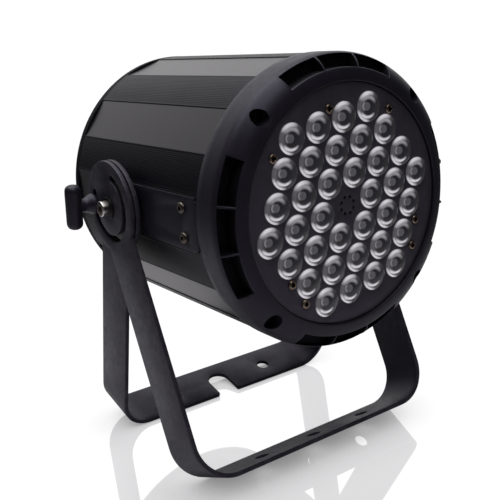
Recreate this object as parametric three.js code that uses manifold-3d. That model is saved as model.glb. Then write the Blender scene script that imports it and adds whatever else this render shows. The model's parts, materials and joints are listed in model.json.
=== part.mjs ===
// LED par can: a round housing on two nested U yokes that clamp with T-handles
// and also stand it on the floor.
// Millimetres, +Z up. The origin is the middle of the bounding box as the light stands on its
// yokes. The pivot axis lies along X and the light leaves towards -Y.
import * as THREE from "three";
import { mergeVertices } from "three/addons/utils/BufferGeometryUtils.js";
import Module from "manifold-3d";

const wasm = await Module();
wasm.setup();

// Stance, angles in degrees
const PIVOT_Y = 21.24, PIVOT_Z = 52.47; // pivot axis, from the origin
const TILT = 3.8; // nose-up angle of the can
const OUTER_SPLAY = 27.4, INNER_SPLAY = 11.1; // yokes, either side of the vertical
const FACE_TO_PIVOT = 159.2; // from the lens plane back to the pivot axis

// Sizes shared between sections. On the can, _FROM, _FRONT and _BACK are stations: distances
// behind the lens plane.
const BEZEL_BACK = 33;
const PLATE_FRONT = -2.4;
const RIB_R = 118.6; // widest radius of the housing and rear cover
const HOUSING_BACK = 249.7, COVER_BACK = 262;
const BEZEL_SCREW_AT = 110.6, BOSS_AT = 107.6, REAR_SCREW_AT = 106; // radii on the diagonals
const YOKE_T = 4, OUTER_X = 131.8, INNER_X = 126.6; // yoke thickness and outside half widths
const BOLT_R = 4, STUD_R = 2.9;
const SLOT_R = 28.1; // arc slot and clamp stud, from the pivot
const CLEARANCE = 0.4; // radial, around bolts and studs
const GAP = 0.1; // between stacked parts

const DEGREE = Math.PI / 180;
const fromFace = (station) => station - FACE_TO_PIVOT; // station to y in the can's frame

// ---- Points and outlines, angles in degrees ----

const polar = (radius, angle) => [
  radius * Math.cos(angle * DEGREE),
  radius * Math.sin(angle * DEGREE),
];
const shifted = ([x, z], [dx, dz]) => [x + dx, z + dz];
const diagonals = (radius) => [45, 135, 225, 315].map((angle) => polar(radius, angle));
const circle = (radius, sides, x = 0, z = 0) =>
  Array.from({ length: sides }, (_, k) => {
    const turn = (k / sides) * 2 * Math.PI;
    return [x + radius * Math.cos(turn), z + radius * Math.sin(turn)];
  });
const arc = (centre, radius, start, end, steps) =>
  Array.from({ length: steps + 1 }, (_, k) =>
    shifted(centre, polar(radius, start + ((end - start) * k) / steps)));
const rectangle = ([x, z], halfX, halfZ) => [
  [x - halfX, z - halfZ], [x + halfX, z - halfZ],
  [x + halfX, z + halfZ], [x - halfX, z + halfZ],
];
const vectors = (points) => points.map(([x, y]) => new THREE.Vector2(x, y));

// ---- Solids ----

function signedVolume(geometry) {
  const { index, attributes: { position } } = geometry;
  const [a, b, c] = [0, 1, 2].map(() => new THREE.Vector3());
  let volume = 0;
  for (let k = 0; k < index.count; k += 3) {
    a.fromBufferAttribute(position, index.getX(k));
    b.fromBufferAttribute(position, index.getX(k + 1));
    c.fromBufferAttribute(position, index.getX(k + 2));
    volume += a.dot(b.cross(c)) / 6;
  }
  return volume;
}

// A closed geometry as a solid, its faces turned outwards.
function solid(geometry) {
  const bare = geometry.clone();
  for (const name of Object.keys(bare.attributes)) {
    if (name !== "position") bare.deleteAttribute(name);
  }
  const merged = mergeVertices(bare, 1e-4);
  const triVerts = new Uint32Array(merged.index.array);
  if (signedVolume(merged) < 0) {
    for (let k = 0; k < triVerts.length; k += 3) {
      [triVerts[k + 1], triVerts[k + 2]] = [triVerts[k + 2], triVerts[k + 1]];
    }
  }
  const vertProperties = new Float32Array(merged.attributes.position.array);
  return new wasm.Manifold(new wasm.Mesh({ numProp: 3, vertProperties, triVerts }));
}

const join = (shapes) => shapes.reduce((a, b) => a.add(b));
const cut = (shape, tools) => tools.reduce((rest, tool) => rest.subtract(tool), shape);
const box = (size, centre) => solid(new THREE.BoxGeometry(...size).translate(...centre));

// A flat XZ outline, pushed from one y to another.
function slab(outline, fromY, toY, holes = []) {
  const shape = new THREE.Shape(vectors(outline));
  shape.holes = holes.map((hole) => new THREE.Path(vectors(hole)));
  const geometry = new THREE.ExtrudeGeometry(shape, { depth: toY - fromY, bevelEnabled: false });
  return solid(geometry.rotateX(90 * DEGREE).translate(0, toY, 0));
}

// A rod or cone along X at [y, z]; side is -1 or 1, near and far are distances from x = 0.
function sideRod(side, [y, z], radius, near, far, sides, farRadius = radius) {
  const radii = side < 0 ? [radius, farRadius] : [farRadius, radius];
  const geometry = new THREE.CylinderGeometry(...radii, far - near, sides);
  return solid(geometry.rotateZ(-90 * DEGREE).translate((side * (near + far)) / 2, y, z));
}

// The can's own shapes take stations in place of y.
const canBox = (size, [x, station, z]) => box(size, [x, fromFace(station), z]);
const canSlab = (outline, from, to, holes) => slab(outline, fromFace(from), fromFace(to), holes);
// A rod along the can axis at [x, z].
function rod([x, z], radius, from, to, sides) {
  const [a, b] = [fromFace(from), fromFace(to)];
  const geometry = new THREE.CylinderGeometry(radius, radius, b - a, sides);
  return solid(geometry.translate(x, (a + b) / 2, z));
}
// Turned about the can's direction; profile points are [radius, station].
function turned(profile, sides, z = 0) {
  const onAxis = profile[0][0] === 0 && profile.at(-1)[0] === 0;
  const closed = onAxis ? profile : [...profile, profile[0]];
  const points = vectors(closed.map(([radius, station]) => [radius, fromFace(station)]));
  return solid(new THREE.LatheGeometry(points, sides).translate(0, 0, z));
}
// Head and shank are [radius, from, to, sides].
const screw = (place, head, shank) => rod(place, ...head).add(rod(place, ...shank));

// ---- Materials, groups and meshes ----

// [color, roughness, metalness]
const PAINT = {
  satin_black: [0x17171a, 0.5, 0.0],
  anodised: [0x3a3538, 0.38, 0.55],
  yoke_black: [0x1c1b1e, 0.55, 0.2],
  black_plastic: [0x121214, 0.55, 0.0],
  clear: [0xdfe6ea, 0.05, 0.0],
  copper: [0xb07a5a, 0.35, 0.9],
  steel: [0xb5b2ae, 0.3, 1.0],
  dark_steel: [0x6a655f, 0.4, 0.9],
  raw_alu: [0xb9bcc0, 0.4, 0.9],
  pcb: [0x1d4d2b, 0.6, 0.0],
  white_board: [0xe6e6e2, 0.5, 0.0],
  nylon: [0x202022, 0.6, 0.0],
  window: [0x0c0d10, 0.1, 0.0],
};

const root = new THREE.Group();
const stand = new THREE.Group(); // the middle of the pivot axis
stand.position.set(0, PIVOT_Y, PIVOT_Z);
root.add(stand);
function tilted(angle) {
  const group = new THREE.Group();
  group.rotation.x = angle * DEGREE;
  stand.add(group);
  return group;
}
const can = tilted(-TILT);
const outer = tilted(-OUTER_SPLAY);
const inner = tilted(INNER_SPLAY);

function addPiece(group, name, shape, look) {
  const { vertProperties, triVerts } = shape.getMesh();
  const geometry = new THREE.BufferGeometry();
  const positions = new THREE.BufferAttribute(new Float32Array(vertProperties), 3);
  geometry.setAttribute("position", positions);
  geometry.setIndex(new THREE.BufferAttribute(new Uint32Array(triVerts), 1));
  geometry.computeVertexNormals();
  const [color, roughness, metalness] = PAINT[look];
  const material = new THREE.MeshStandardMaterial({ color, roughness, metalness });
  const mesh = new THREE.Mesh(geometry, material);
  mesh.name = name;
  group.add(mesh);
}
const addToCan = (name, shape, look) => addPiece(can, name, shape, look);
// One numbered piece at each place.
const addSet = (name, places, build, look) =>
  places.forEach((place, k) => addToCan(`${name}_${k + 1}`, build(place), look));

// ---- Front bezel: domed ring, 12 vent pockets in four groups, four deep screw recesses ----

const BEZEL_R = 120, BEZEL_FRONT = -4.8, LIP_R = 97.4;
const SHOULDER_START = 13, SHOULDER_SWEEP = 83, SHOULDER_STEPS = 5; // station, degrees
const POCKET_IN = 107.4, POCKET_OUT = 118.2, POCKET_FLOOR = 11; // radii, station
const POCKET_EDGES = [-27.4, -9.1, 9.1, 27.4]; // degrees from the middle of a group
const POCKET_RIB = 1.7, POCKET_RIB_R = 113; // rib width, and the radius it is measured at

function frontBezel() {
  const shoulder = [];
  for (let k = 0; k <= SHOULDER_STEPS; k++) {
    const angle = (k / SHOULDER_STEPS) * SHOULDER_SWEEP * DEGREE;
    shoulder.push([
      LIP_R + (BEZEL_R - LIP_R) * Math.cos(angle),
      SHOULDER_START - (SHOULDER_START - BEZEL_FRONT) * Math.sin(angle),
    ]);
  }
  const ring = turned([
    [BEZEL_R, BEZEL_BACK], ...shoulder, [LIP_R, BEZEL_FRONT],
    [LIP_R, 0.9], [92, 0.9], [92, 4.2], [103.5, 4.2],
    [103.5, 19], [112.5, 19], [112.5, BEZEL_BACK],
  ], 40);

  const halfRib = POCKET_RIB / 2 / POCKET_RIB_R / DEGREE;
  const pockets = [];
  for (let group = 0; group < 4; group++) {
    for (let k = 0; k < 3; k++) {
      const start = group * 90 + POCKET_EDGES[k] + (k > 0 ? halfRib : 0);
      const end = group * 90 + POCKET_EDGES[k + 1] - (k < 2 ? halfRib : 0);
      const sector = [
        ...arc([0, 0], POCKET_OUT, start, end, 2),
        ...arc([0, 0], POCKET_IN, end, start, 2),
      ];
      pockets.push(canSlab(sector, -10, POCKET_FLOOR));
    }
  }
  return cut(ring, [
    ...pockets,
    ...diagonals(111.3).map((place) => rod(place, 6.6, -12, 14, 10)),
    ...diagonals(BEZEL_SCREW_AT).map((place) => rod(place, 2.4, 0, 40, 8)),
  ]);
}
addToCan("front_bezel", frontBezel(), "satin_black");
addSet("bezel_screw", diagonals(BEZEL_SCREW_AT),
  (place) => screw(place, [4.2, 10.2, 13.6, 8], [2, 13.5, 44, 6]), "steel");

// ---- Face plate, lenses, LED board and heat sink, from front to back ----

const PITCH = 26.5, GRID_TURN = 11; // lens grid pitch, and its turn in degrees
const LENS_R = 12.2, LENS_BACK = 10.2;
const PLATE_R = 96.6, PLATE_T = 3;
const SINK_FRONT = 12.6, SINK_BASE_BACK = 18;
const FIN_PITCH = 15.5, FIN_T = 2.6, FIN_DEPTH = 46, FIN_REACH = 84;

// Straight hexagonal rows of 4, 5, 6, 6, 6, 5, 4 with the centre left out.
function lensPlaces() {
  const cos = Math.cos(GRID_TURN * DEGREE), sin = Math.sin(GRID_TURN * DEGREE);
  const places = [];
  for (let column = -3; column <= 3; column++) {
    for (let row = -3; row <= 3; row++) {
      if (Math.abs(column + row) > 3 || (column === 0 && row === 0)) continue;
      const x = PITCH * (column + row / 2);
      const z = (PITCH * (row * Math.sqrt(3))) / 2;
      places.push([x * cos - z * sin, x * sin + z * cos]);
    }
  }
  return places;
}
const lenses = lensPlaces();
// [radius, angle from the turned grid]
const faceScrews = [
  [79.5, 90], [79.5, -30], [79.5, 210],
  [85.6, 45], [85.6, 135], [85.6, 225], [85.6, 315],
].map(([radius, angle]) => polar(radius, angle + GRID_TURN));
const centreHoles = Array.from({ length: 8 }, (_, k) => polar(7, k * 45 + 10 + GRID_TURN));

addToCan("face_plate", canSlab(circle(PLATE_R, 32), PLATE_FRONT, PLATE_FRONT + PLATE_T, [
  ...lenses.map((place) => circle(LENS_R + 0.2, 12, ...place)),
  ...faceScrews.map((place) => circle(1.9, 5, ...place)),
  ...centreHoles.map((place) => circle(1.3, 4, ...place)),
]), "satin_black");
addSet("face_screw", faceScrews, (place) => screw(place,
  [3.7, PLATE_FRONT - 1.9, PLATE_FRONT - GAP, 8], [1.3, PLATE_FRONT - 0.2, 3.4, 5]), "copper");

// One clear moulding carries the 36 lenses.
addToCan("lens_array", join([
  canSlab(circle(89.4, 24), 8.6, LENS_BACK, [circle(4, 8)]),
  ...lenses.map((place) => rod(place, LENS_R - 0.3, PLATE_FRONT - 1, LENS_BACK, 12)),
]), "clear");
addToCan("led_board", canSlab(circle(88, 28), 10.6, 12.2, [circle(3, 8)]), "white_board");

// A round base with straight fins, trimmed to a circle.
function heatSink() {
  const parts = [canSlab(circle(86, 28), SINK_FRONT, SINK_BASE_BACK)];
  for (let k = -5; k <= 5; k++) {
    const x = k * FIN_PITCH;
    const halfHeight = Math.sqrt(FIN_REACH * FIN_REACH - x * x);
    parts.push(canBox([FIN_T, FIN_DEPTH, 2 * halfHeight], [x, SINK_BASE_BACK + 22.5, 0]));
  }
  return join(parts);
}
addToCan("heat_sink", heatSink(), "raw_alu");

// ---- Housing: an extrusion with ten flats and ten raised bands between them ----

const FLAT_D = 116.5; // from the axis to a flat
const FLAT_HALF = 9.1, SIDE_FLAT_HALF = 11; // degrees; the side flats face +X and -X
const BORE_R = 113, HOUSING_FRONT = BEZEL_BACK + 0.3;

// Places in YZ of the fastenings through the housing sides
const PIVOT = [0, 0], STUD = [SLOT_R, 0];
const PLATE_SCREWS = [12, -12].map((z) => [fromFace(54.5), z]);
const sideHole = (side, place, radius, sides) => sideRod(side, place, radius, 100, 140, sides);
const pivotHole = (side) => sideHole(side, PIVOT, BOLT_R + CLEARANCE, 16);
const sideHoles = (side) => [
  pivotHole(side),
  sideHole(side, STUD, STUD_R + CLEARANCE, 12),
  ...PLATE_SCREWS.map((place) => sideHole(side, place, 2.9, 8)),
];

function housingExtrusion() {
  const flatHalf = (k) => (k % 5 ? FLAT_HALF : SIDE_FLAT_HALF);
  const outline = [];
  for (let k = 0; k < 10; k++) {
    const middle = k * 36, half = flatHalf(k);
    const cornerR = FLAT_D / Math.cos(half * DEGREE);
    outline.push(
      polar(cornerR, middle - half),
      polar(cornerR, middle + half),
      ...arc([0, 0], RIB_R, middle + half + 0.25, middle + 36 - flatHalf(k + 1) - 0.25, 3),
    );
  }
  // Screw bosses for the bezel and the rear cover run the full length.
  const bosses = diagonals(BOSS_AT).map((place) => rod(place, 6, HOUSING_FRONT, HOUSING_BACK, 10));
  const tube = canSlab(outline, HOUSING_FRONT, HOUSING_BACK, [circle(BORE_R, 40)]);
  return cut(join([tube, ...bosses]), [
    ...diagonals(BEZEL_SCREW_AT).map((place) => rod(place, 2.5, 20, 52, 8)),
    ...diagonals(REAR_SCREW_AT).map((place) => rod(place, 2.5, 230, 260, 8)),
    ...sideHoles(-1),
    ...sideHoles(1),
  ]);
}
addToCan("housing_extrusion", housingExtrusion(), "anodised");

// ---- Side plates, pivot stacks and T-handles ----

const SIDE_X = 118.8, SIDE_T = 2, SIDE_H = 43.4; // outside face, thickness, height
const SIDE_FRONT = 33.4, SIDE_BACK = 214;
const WASHER_R = 13, BOLT_START = 104, BOLT_HEAD_R = 6.5, BOLT_HEAD_END = 140.2;
const HUB_START = OUTER_X + 0.4, HUB_R = 9.2, NECK_R = 6.2, NECK_END_R = 5.2;
const BAR_X = 152.2, BAR_R = 7.2, BAR_L = 41; // cross bar
const BAR_TURN = 8; // degrees off the can's own vertical

// A plate with the two corners at its front end notched.
function sidePlate(side) {
  const plate = canBox([SIDE_T, SIDE_BACK - SIDE_FRONT, SIDE_H],
    [side * (SIDE_X - SIDE_T / 2), (SIDE_FRONT + SIDE_BACK) / 2, 0]);
  const notches = [1, -1].map((end) =>
    canBox([4, 4.4, 3.4], [side * SIDE_X, SIDE_FRONT, end * (SIDE_H / 2 - 0.6)]));
  return cut(plate, [...notches, ...sideHoles(side)]);
}
const plateScrew = (side, place) => join([
  sideRod(side, place, 4.8, SIDE_X + GAP, SIDE_X + 2.5, 12, 3.6),
  sideRod(side, place, 2.4, 108, SIDE_X + 0.4, 8),
]);
const washer = (side, radius, near, far, sides) =>
  sideRod(side, PIVOT, radius, near, far, sides).subtract(pivotHole(side));
// Round-headed bolt with a hexagonal socket.
function pivotBolt(side) {
  const head = sideRod(side, PIVOT, BOLT_HEAD_R, OUTER_X + 1.7, BOLT_HEAD_END, 16);
  const shank = sideRod(side, PIVOT, BOLT_R, BOLT_START, OUTER_X + 2, 12);
  const socket = sideRod(side, PIVOT, 3.4, BOLT_HEAD_END - 4, BOLT_HEAD_END + 2, 6);
  return head.add(shank).subtract(socket);
}
// A conical hub just outside the outer yoke's disc, and a cross bar with rounded ends.
function clampHandle(side) {
  const bar = new THREE.CapsuleGeometry(BAR_R, BAR_L - 2 * BAR_R, 3, 10)
    .rotateX((90 + BAR_TURN) * DEGREE)
    .translate(side * BAR_X, SLOT_R, 0);
  return join([
    sideRod(side, STUD, HUB_R, HUB_START, HUB_START + 9, 14, NECK_R),
    sideRod(side, STUD, NECK_R, HUB_START + 8.9, BAR_X, 14, NECK_END_R),
    solid(bar),
  ]).subtract(sideRod(side, STUD, STUD_R + 0.3, 100, BAR_X - 5.6, 12));
}

for (const [side, name] of [[-1, "left"], [1, "right"]]) {
  addToCan(`side_plate_${name}`, sidePlate(side), "satin_black");
  addSet(`side_plate_screw_${name}`, PLATE_SCREWS,
    (place) => plateScrew(side, place), "dark_steel");
  addToCan(`pivot_spacer_${name}`,
    washer(side, WASHER_R, SIDE_X + GAP, INNER_X - YOKE_T - GAP, 20), "nylon");
  addToCan(`friction_washer_${name}`,
    washer(side, WASHER_R, INNER_X + GAP, OUTER_X - YOKE_T - GAP, 20), "nylon");
  addToCan(`pivot_washer_${name}`,
    washer(side, 9.5, OUTER_X + GAP, OUTER_X + 1.6, 16), "dark_steel");
  addToCan(`pivot_bolt_${name}`, pivotBolt(side), "steel");
  addToCan(`clamp_stud_${name}`,
    sideRod(side, STUD, STUD_R, BOLT_START, BAR_X - 6, 12), "steel");
  addToCan(`clamp_handle_${name}`, clampHandle(side), "black_plastic");
}

// ---- Rear cover and its controls; places are [x, z] ----

const COVER_FROM = 250, COVER_RIM = 258, COVER_INSIDE = COVER_BACK - 4;
const DMX_IN = [-66, 4], DMX_OUT = [-30, 4], POWER = [[30, 4], [66, 4]], FUSE = [0, 4];
const BUTTONS = [-27, -9, 9, 27].map((x) => [x, 34]);
const DISPLAY_Z = 57, EYE_Z = 88;
const FAN = [0, -56], FAN_Z = FAN[1];
const TAB_X = DMX_OUT[0], TAB_Z = DMX_OUT[1] + 13.4;
const SOCKET_R = 11.7, PIN_ANGLES = [90, 210, 330];

const tabSlot = () => canBox([6.4, 12, 3.4], [TAB_X, 263, TAB_Z]);
const coverHole = (place, radius, sides) => rod(place, radius, 240, 270, sides);

// A shallow cup, open towards the front.
function rearCover() {
  const cup = turned([
    [0, COVER_INSIDE], [112, COVER_INSIDE], [114.5, COVER_FROM], [RIB_R, COVER_FROM],
    [RIB_R, COVER_RIM], [115.5, COVER_BACK - 1.4], [110, COVER_BACK], [0, COVER_BACK],
  ], 40);
  return cut(cup, [
    ...[DMX_IN, DMX_OUT, ...POWER].map((place) => coverHole(place, 12.4, 12)),
    tabSlot(),
    coverHole(FUSE, 6.6, 14),
    canBox([50, 30, 17], [0, 255, DISPLAY_Z]),
    ...BUTTONS.map((place) => coverHole(place, 4.5, 10)),
    coverHole(FAN, 36, 20),
    ...diagonals(REAR_SCREW_AT).map((place) => coverHole(place, 2.6, 8)),
    ...rectangle(FAN, 35.7, 35.7).map((place) => coverHole(place, 1.7, 6)),
  ]);
}
addToCan("rear_cover", rearCover(), "black_plastic");
addSet("rear_screw", diagonals(REAR_SCREW_AT), (place) => screw(place,
  [3.9, COVER_BACK + GAP, COVER_BACK + 2.3, 10], [2, 236, COVER_BACK + 0.4, 8]), "dark_steel");
addToCan("display_window",
  canBox([49.2, 3.6, 16.2], [0, COVER_BACK - 1.6, DISPLAY_Z]), "window");
// Cap, collar behind the cover and thin stem.
addSet("menu_button", BUTTONS, (place) => join([
  rod(place, 4.1, 254.6, COVER_BACK + 2.4, 10),
  rod(place, 5.4, 253.4, 255, 10),
  rod(place, 1.8, 249.6, 254, 6),
]), "black_plastic");

// Round body with a rectangular flange on the cover.
const socketBody = (place, from, to) => join([
  canSlab(rectangle(place, 13, 15.5), COVER_BACK + GAP, COVER_BACK + 2.1),
  rod(place, SOCKET_R, from, to, 14),
]);
// A ring-shaped cutter that leaves a round core standing.
const groove = (place, outerR, coreR, floor, coreSides) =>
  rod(place, outerR, floor, 280, 14).subtract(rod(place, coreR, floor - 1, 282, coreSides));
const pins = (place, ringR, radius, from, to) => PIN_ANGLES.map((angle) =>
  rod(shifted(place, polar(ringR, angle)), radius, from, to, 6));

// Male socket: an open collar with three pins.
addToCan("dmx_in_socket", join([
  socketBody(DMX_IN, 240, COVER_BACK + 3).subtract(rod(DMX_IN, 9.6, 246, 280, 14)),
  ...pins(DMX_IN, 4, 1.2, 245, 258),
]), "black_plastic");
// Female socket: a solid core with three holes, and a slot for the release tab.
addToCan("dmx_out_socket", cut(socketBody(DMX_OUT, 240, COVER_BACK + 3), [
  groove(DMX_OUT, 9.8, 7.4, 251, 14),
  ...pins(DMX_OUT, 3.8, 1.3, 250, 280),
  tabSlot(),
]), "black_plastic");
addToCan("dmx_release_tab", canBox([5.6, 6.4, 2.6], [TAB_X, 262.6, TAB_Z]), "steel");
// Round mains connectors
["power_inlet", "power_outlet"].forEach((name, k) => {
  const body = socketBody(POWER[k], 238, COVER_BACK + 4);
  addToCan(name, body.subtract(groove(POWER[k], 9.4, 5.6, 248, 10)), "black_plastic");
});
// Round cap with a straight slot across its face
addToCan("fuse_cap", join([
  rod(FUSE, 8, COVER_BACK + 0.3, COVER_BACK + 8, 18),
  rod(FUSE, 5.8, 244, COVER_BACK + 1, 14),
]).subtract(canBox([12, 4, 1.6], [FUSE[0], COVER_BACK + 7.4, FUSE[1]])), "black_plastic");

// Safety cable eye: a wire loop on a small foot.
function safetyEye() {
  // [x, distance behind the foot of the loop]
  const path = [[-9, 0], [-9, 8], [-5, 14], [0, 16], [5, 14], [9, 8], [9, 0]];
  const extrudePath = new THREE.CatmullRomCurve3(path.map(([x, rise]) =>
    new THREE.Vector3(x, fromFace(COVER_BACK + 1.5 + rise), EYE_Z)));
  const section = new THREE.Shape(vectors(circle(2, 6)));
  const options = { steps: 10, bevelEnabled: false, extrudePath };
  return join([
    canBox([28, 2, 10], [0, COVER_BACK + 1.2, EYE_Z]),
    solid(new THREE.ExtrudeGeometry(section, options)),
  ]);
}
addToCan("safety_eye", safetyEye(), "steel");

// ---- Fan inside the rear cover, its guard outside ----

const FAN_HALF = 40, FAN_FRONT = 228.5, FAN_T = 25;
const BLADE_COUNT = 7, BLADE_PITCH = 32; // pitch in degrees

// Square frame, hub plate, two crossed struts and a spindle.
addToCan("fan_frame", join([
  canSlab(rectangle(FAN, FAN_HALF, FAN_HALF), FAN_FRONT, FAN_FRONT + FAN_T,
    [circle(38, 20, ...FAN)]),
  rod(FAN, 15, FAN_FRONT + 0.2, FAN_FRONT + 4, 18),
  canBox([4, 3, 77], [0, FAN_FRONT + 2, FAN_Z]),
  canBox([77, 3, 4], [0, FAN_FRONT + 2, FAN_Z]),
  rod(FAN, 1.6, FAN_FRONT + 2, FAN_FRONT + 12, 10),
]), "black_plastic");

const fanBlade = (k) => solid(new THREE.BoxGeometry(20.5, 1.4, 21)
  .translate(25, 0, 0)
  .rotateX(BLADE_PITCH * DEGREE)
  .rotateY(((k * 360) / BLADE_COUNT) * DEGREE)
  .translate(0, fromFace(FAN_FRONT + 14), FAN_Z));
addToCan("fan_rotor", join([
  rod(FAN, 16, FAN_FRONT + 5, FAN_FRONT + 23.4, 14),
  ...Array.from({ length: BLADE_COUNT }, (_, k) => fanBlade(k)),
]).subtract(rod(FAN, 1.8, FAN_FRONT, FAN_FRONT + 13, 10)), "black_plastic");

// Three square-section rings on two crossed bars
const guardRing = (radius) => turned([
  [radius - 0.9, COVER_BACK + 2.6], [radius + 0.9, COVER_BACK + 2.6],
  [radius + 0.9, COVER_BACK + 4.4], [radius - 0.9, COVER_BACK + 4.4],
], 16, FAN_Z);
const guardBar = (angle) => solid(new THREE.BoxGeometry(101, 1.8, 2)
  .rotateY(angle * DEGREE)
  .translate(0, fromFace(COVER_BACK + 2.1), FAN_Z));
addToCan("fan_guard", join([...[11, 23, 35.5].map(guardRing), ...[45, 135].map(guardBar)]),
  "steel");

// ---- Chassis plate with the power supply behind it, and the control board ----

const chassisHoles = [[16, 0, -70], [16, 0, 70], [12, 80, 0], [12, -80, 0]] // [radius, x, z]
  .map(([radius, x, z]) => circle(radius, 12, x, z));
addToCan("chassis_plate", cut(canSlab(circle(108.6, 28), 140, 142, chassisHoles),
  diagonals(BOSS_AT).map((place) => rod(place, 6.6, 135, 145, 12))), "raw_alu");
addToCan("power_supply", join([
  canBox([112, 40, 84], [0, 162.3, 0]),
  canBox([106, 6, 10], [0, 184.6, 34]),
]), "raw_alu");
addToCan("control_board", join([
  canBox([96, 1.6, 52], [0, 246.8, 47]),
  canBox([30, 9, 12], [-30, 242, 56]),
  canBox([14, 5, 14], [20, 244, 50]),
]), "pcb");

// ---- Yokes: flat bars bent into a U, with a round disc at each end ----
// In a yoke's frame the arms run down and the disc centres lie on the pivot axis.

const YOKE_W = 47, DISC_R = 40.8;
const OUTER_L = 251.8, OUTER_BEND = 36, INNER_L = 234.2, INNER_BEND = 30;
const SLOT_W = 6.4, SLOT_HALF = 135.6, SLOT_STEPS = 16; // half sweep, degrees
const BASE_HOLE_R = 6.5, BASE_HOLE_Y = -2.6, OUTER_HOLE_X = 59.5, INNER_HOLE_X = 57;
const NOTCH_R = 11.4, NOTCH_X = -2, NOTCH_Y = -3.4;

// The bar seen along Y: outside edge from left to right, then inside edge back.
function yokeOutline(x, length, bend) {
  const left = [-x + bend, -length + bend], right = [x - bend, -length + bend];
  return [
    [-x, 0], ...arc(left, bend, 180, 270, 4), ...arc(right, bend, 270, 360, 4), [x, 0],
    [x - YOKE_T, 0], ...arc(right, bend - YOKE_T, 360, 270, 4),
    ...arc(left, bend - YOKE_T, 270, 180, 4), [-x + YOKE_T, 0],
  ];
}
// Arc slot in YZ, centred on the arm, with round ends; a cutter 20 thick centred on x.
function arcSlot(x) {
  const start = -90 - SLOT_HALF, end = -90 + SLOT_HALF, endR = SLOT_W / 2;
  const outerR = (SLOT_R + endR) / Math.cos((SLOT_HALF / SLOT_STEPS) * DEGREE);
  const roundEnd = (at, from) => arc(polar(SLOT_R, at), endR, from, from + 180, 4).slice(1, -1);
  const shape = new THREE.Shape(vectors([
    ...arc([0, 0], outerR, start, end, SLOT_STEPS),
    ...roundEnd(end, end),
    ...arc([0, 0], SLOT_R - endR, end, start, SLOT_STEPS),
    ...roundEnd(start, start + 180),
  ]));
  return solid(new THREE.ExtrudeGeometry(shape, { depth: 20, bevelEnabled: false })
    .rotateX(90 * DEGREE)
    .rotateZ(90 * DEGREE)
    .translate(x - 10, 0, 0));
}
function yoke(x, length, bend, baseCuts) {
  let bar = slab(yokeOutline(x, length, bend), -YOKE_W / 2, YOKE_W / 2);
  for (const side of [-1, 1]) {
    bar = bar.add(sideRod(side, PIVOT, DISC_R, x - YOKE_T, x, 28));
    bar = cut(bar, [
      arcSlot(side * x),
      sideRod(side, PIVOT, BOLT_R + 0.35, x - YOKE_T - 5, x + 5, 12),
    ]);
  }
  return cut(bar, baseCuts);
}
const baseHole = (length, x, y = BASE_HOLE_Y, radius = BASE_HOLE_R, sides = 16) =>
  solid(new THREE.CylinderGeometry(radius, radius, 15, sides)
    .rotateX(90 * DEGREE)
    .translate(x, y, -length + 2.5));

addPiece(outer, "outer_yoke", yoke(OUTER_X, OUTER_L, OUTER_BEND,
  [-OUTER_HOLE_X, 0, OUTER_HOLE_X].map((x) => baseHole(OUTER_L, x))), "yoke_black");
// The inner base also has a round-ended notch, open towards -Y.
addPiece(inner, "inner_yoke", yoke(INNER_X, INNER_L, INNER_BEND, [
  ...[-INNER_HOLE_X, INNER_HOLE_X].map((x) => baseHole(INNER_L, x)),
  baseHole(INNER_L, NOTCH_X, NOTCH_Y, NOTCH_R, 20),
  box([2 * NOTCH_R, 40, 15], [NOTCH_X, NOTCH_Y - 20, -INNER_L]),
]), "yoke_black");

export default root;
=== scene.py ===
# An LED par can: a round can that tilts between two nested U-shaped yokes.
# The part frame is in metres with +Z up. The can is built in its own frame, in millimetres:
# x runs across from pivot to pivot, y back along the can axis, and y = 0 is the lens plane.
# The lenses face -y and the rear cover faces +y. "Left" is -x, "right" is +x.
import json
import math

import bmesh
import bpy
from mathutils import Matrix, Vector
from mathutils.geometry import delaunay_2d_cdt

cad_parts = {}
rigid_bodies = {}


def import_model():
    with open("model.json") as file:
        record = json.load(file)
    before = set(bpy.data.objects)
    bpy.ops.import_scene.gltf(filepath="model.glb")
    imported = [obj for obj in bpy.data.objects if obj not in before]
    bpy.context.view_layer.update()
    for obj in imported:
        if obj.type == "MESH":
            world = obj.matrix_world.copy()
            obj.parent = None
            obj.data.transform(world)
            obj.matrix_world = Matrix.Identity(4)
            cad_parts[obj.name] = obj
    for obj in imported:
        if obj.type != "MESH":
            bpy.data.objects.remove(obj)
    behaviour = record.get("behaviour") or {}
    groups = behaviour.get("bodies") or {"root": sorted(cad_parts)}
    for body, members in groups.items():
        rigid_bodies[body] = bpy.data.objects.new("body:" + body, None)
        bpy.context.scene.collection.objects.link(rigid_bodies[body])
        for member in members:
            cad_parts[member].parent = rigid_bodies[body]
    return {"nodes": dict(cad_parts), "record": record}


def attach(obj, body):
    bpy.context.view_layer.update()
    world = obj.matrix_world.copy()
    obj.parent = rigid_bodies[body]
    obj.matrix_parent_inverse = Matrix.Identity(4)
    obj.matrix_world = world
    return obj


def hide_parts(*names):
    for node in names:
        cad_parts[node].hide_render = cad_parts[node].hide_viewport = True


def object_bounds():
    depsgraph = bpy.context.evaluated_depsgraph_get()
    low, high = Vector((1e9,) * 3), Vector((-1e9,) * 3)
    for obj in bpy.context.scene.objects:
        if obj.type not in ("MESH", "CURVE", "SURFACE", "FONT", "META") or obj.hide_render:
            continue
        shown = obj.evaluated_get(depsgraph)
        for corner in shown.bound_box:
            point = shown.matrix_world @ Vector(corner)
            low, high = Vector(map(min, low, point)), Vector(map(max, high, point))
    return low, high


for old in list(bpy.data.objects):
    bpy.data.objects.remove(old)
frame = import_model()
CAD_BOX = [list(p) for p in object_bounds()]
NODES = frame["nodes"]
JOINTS = {j["name"]: j for j in frame["record"]["behaviour"]["joints"]}
MOUNTS = {m["name"]: m for m in frame["record"]["mounts"]}
DEG = math.pi / 180

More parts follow.
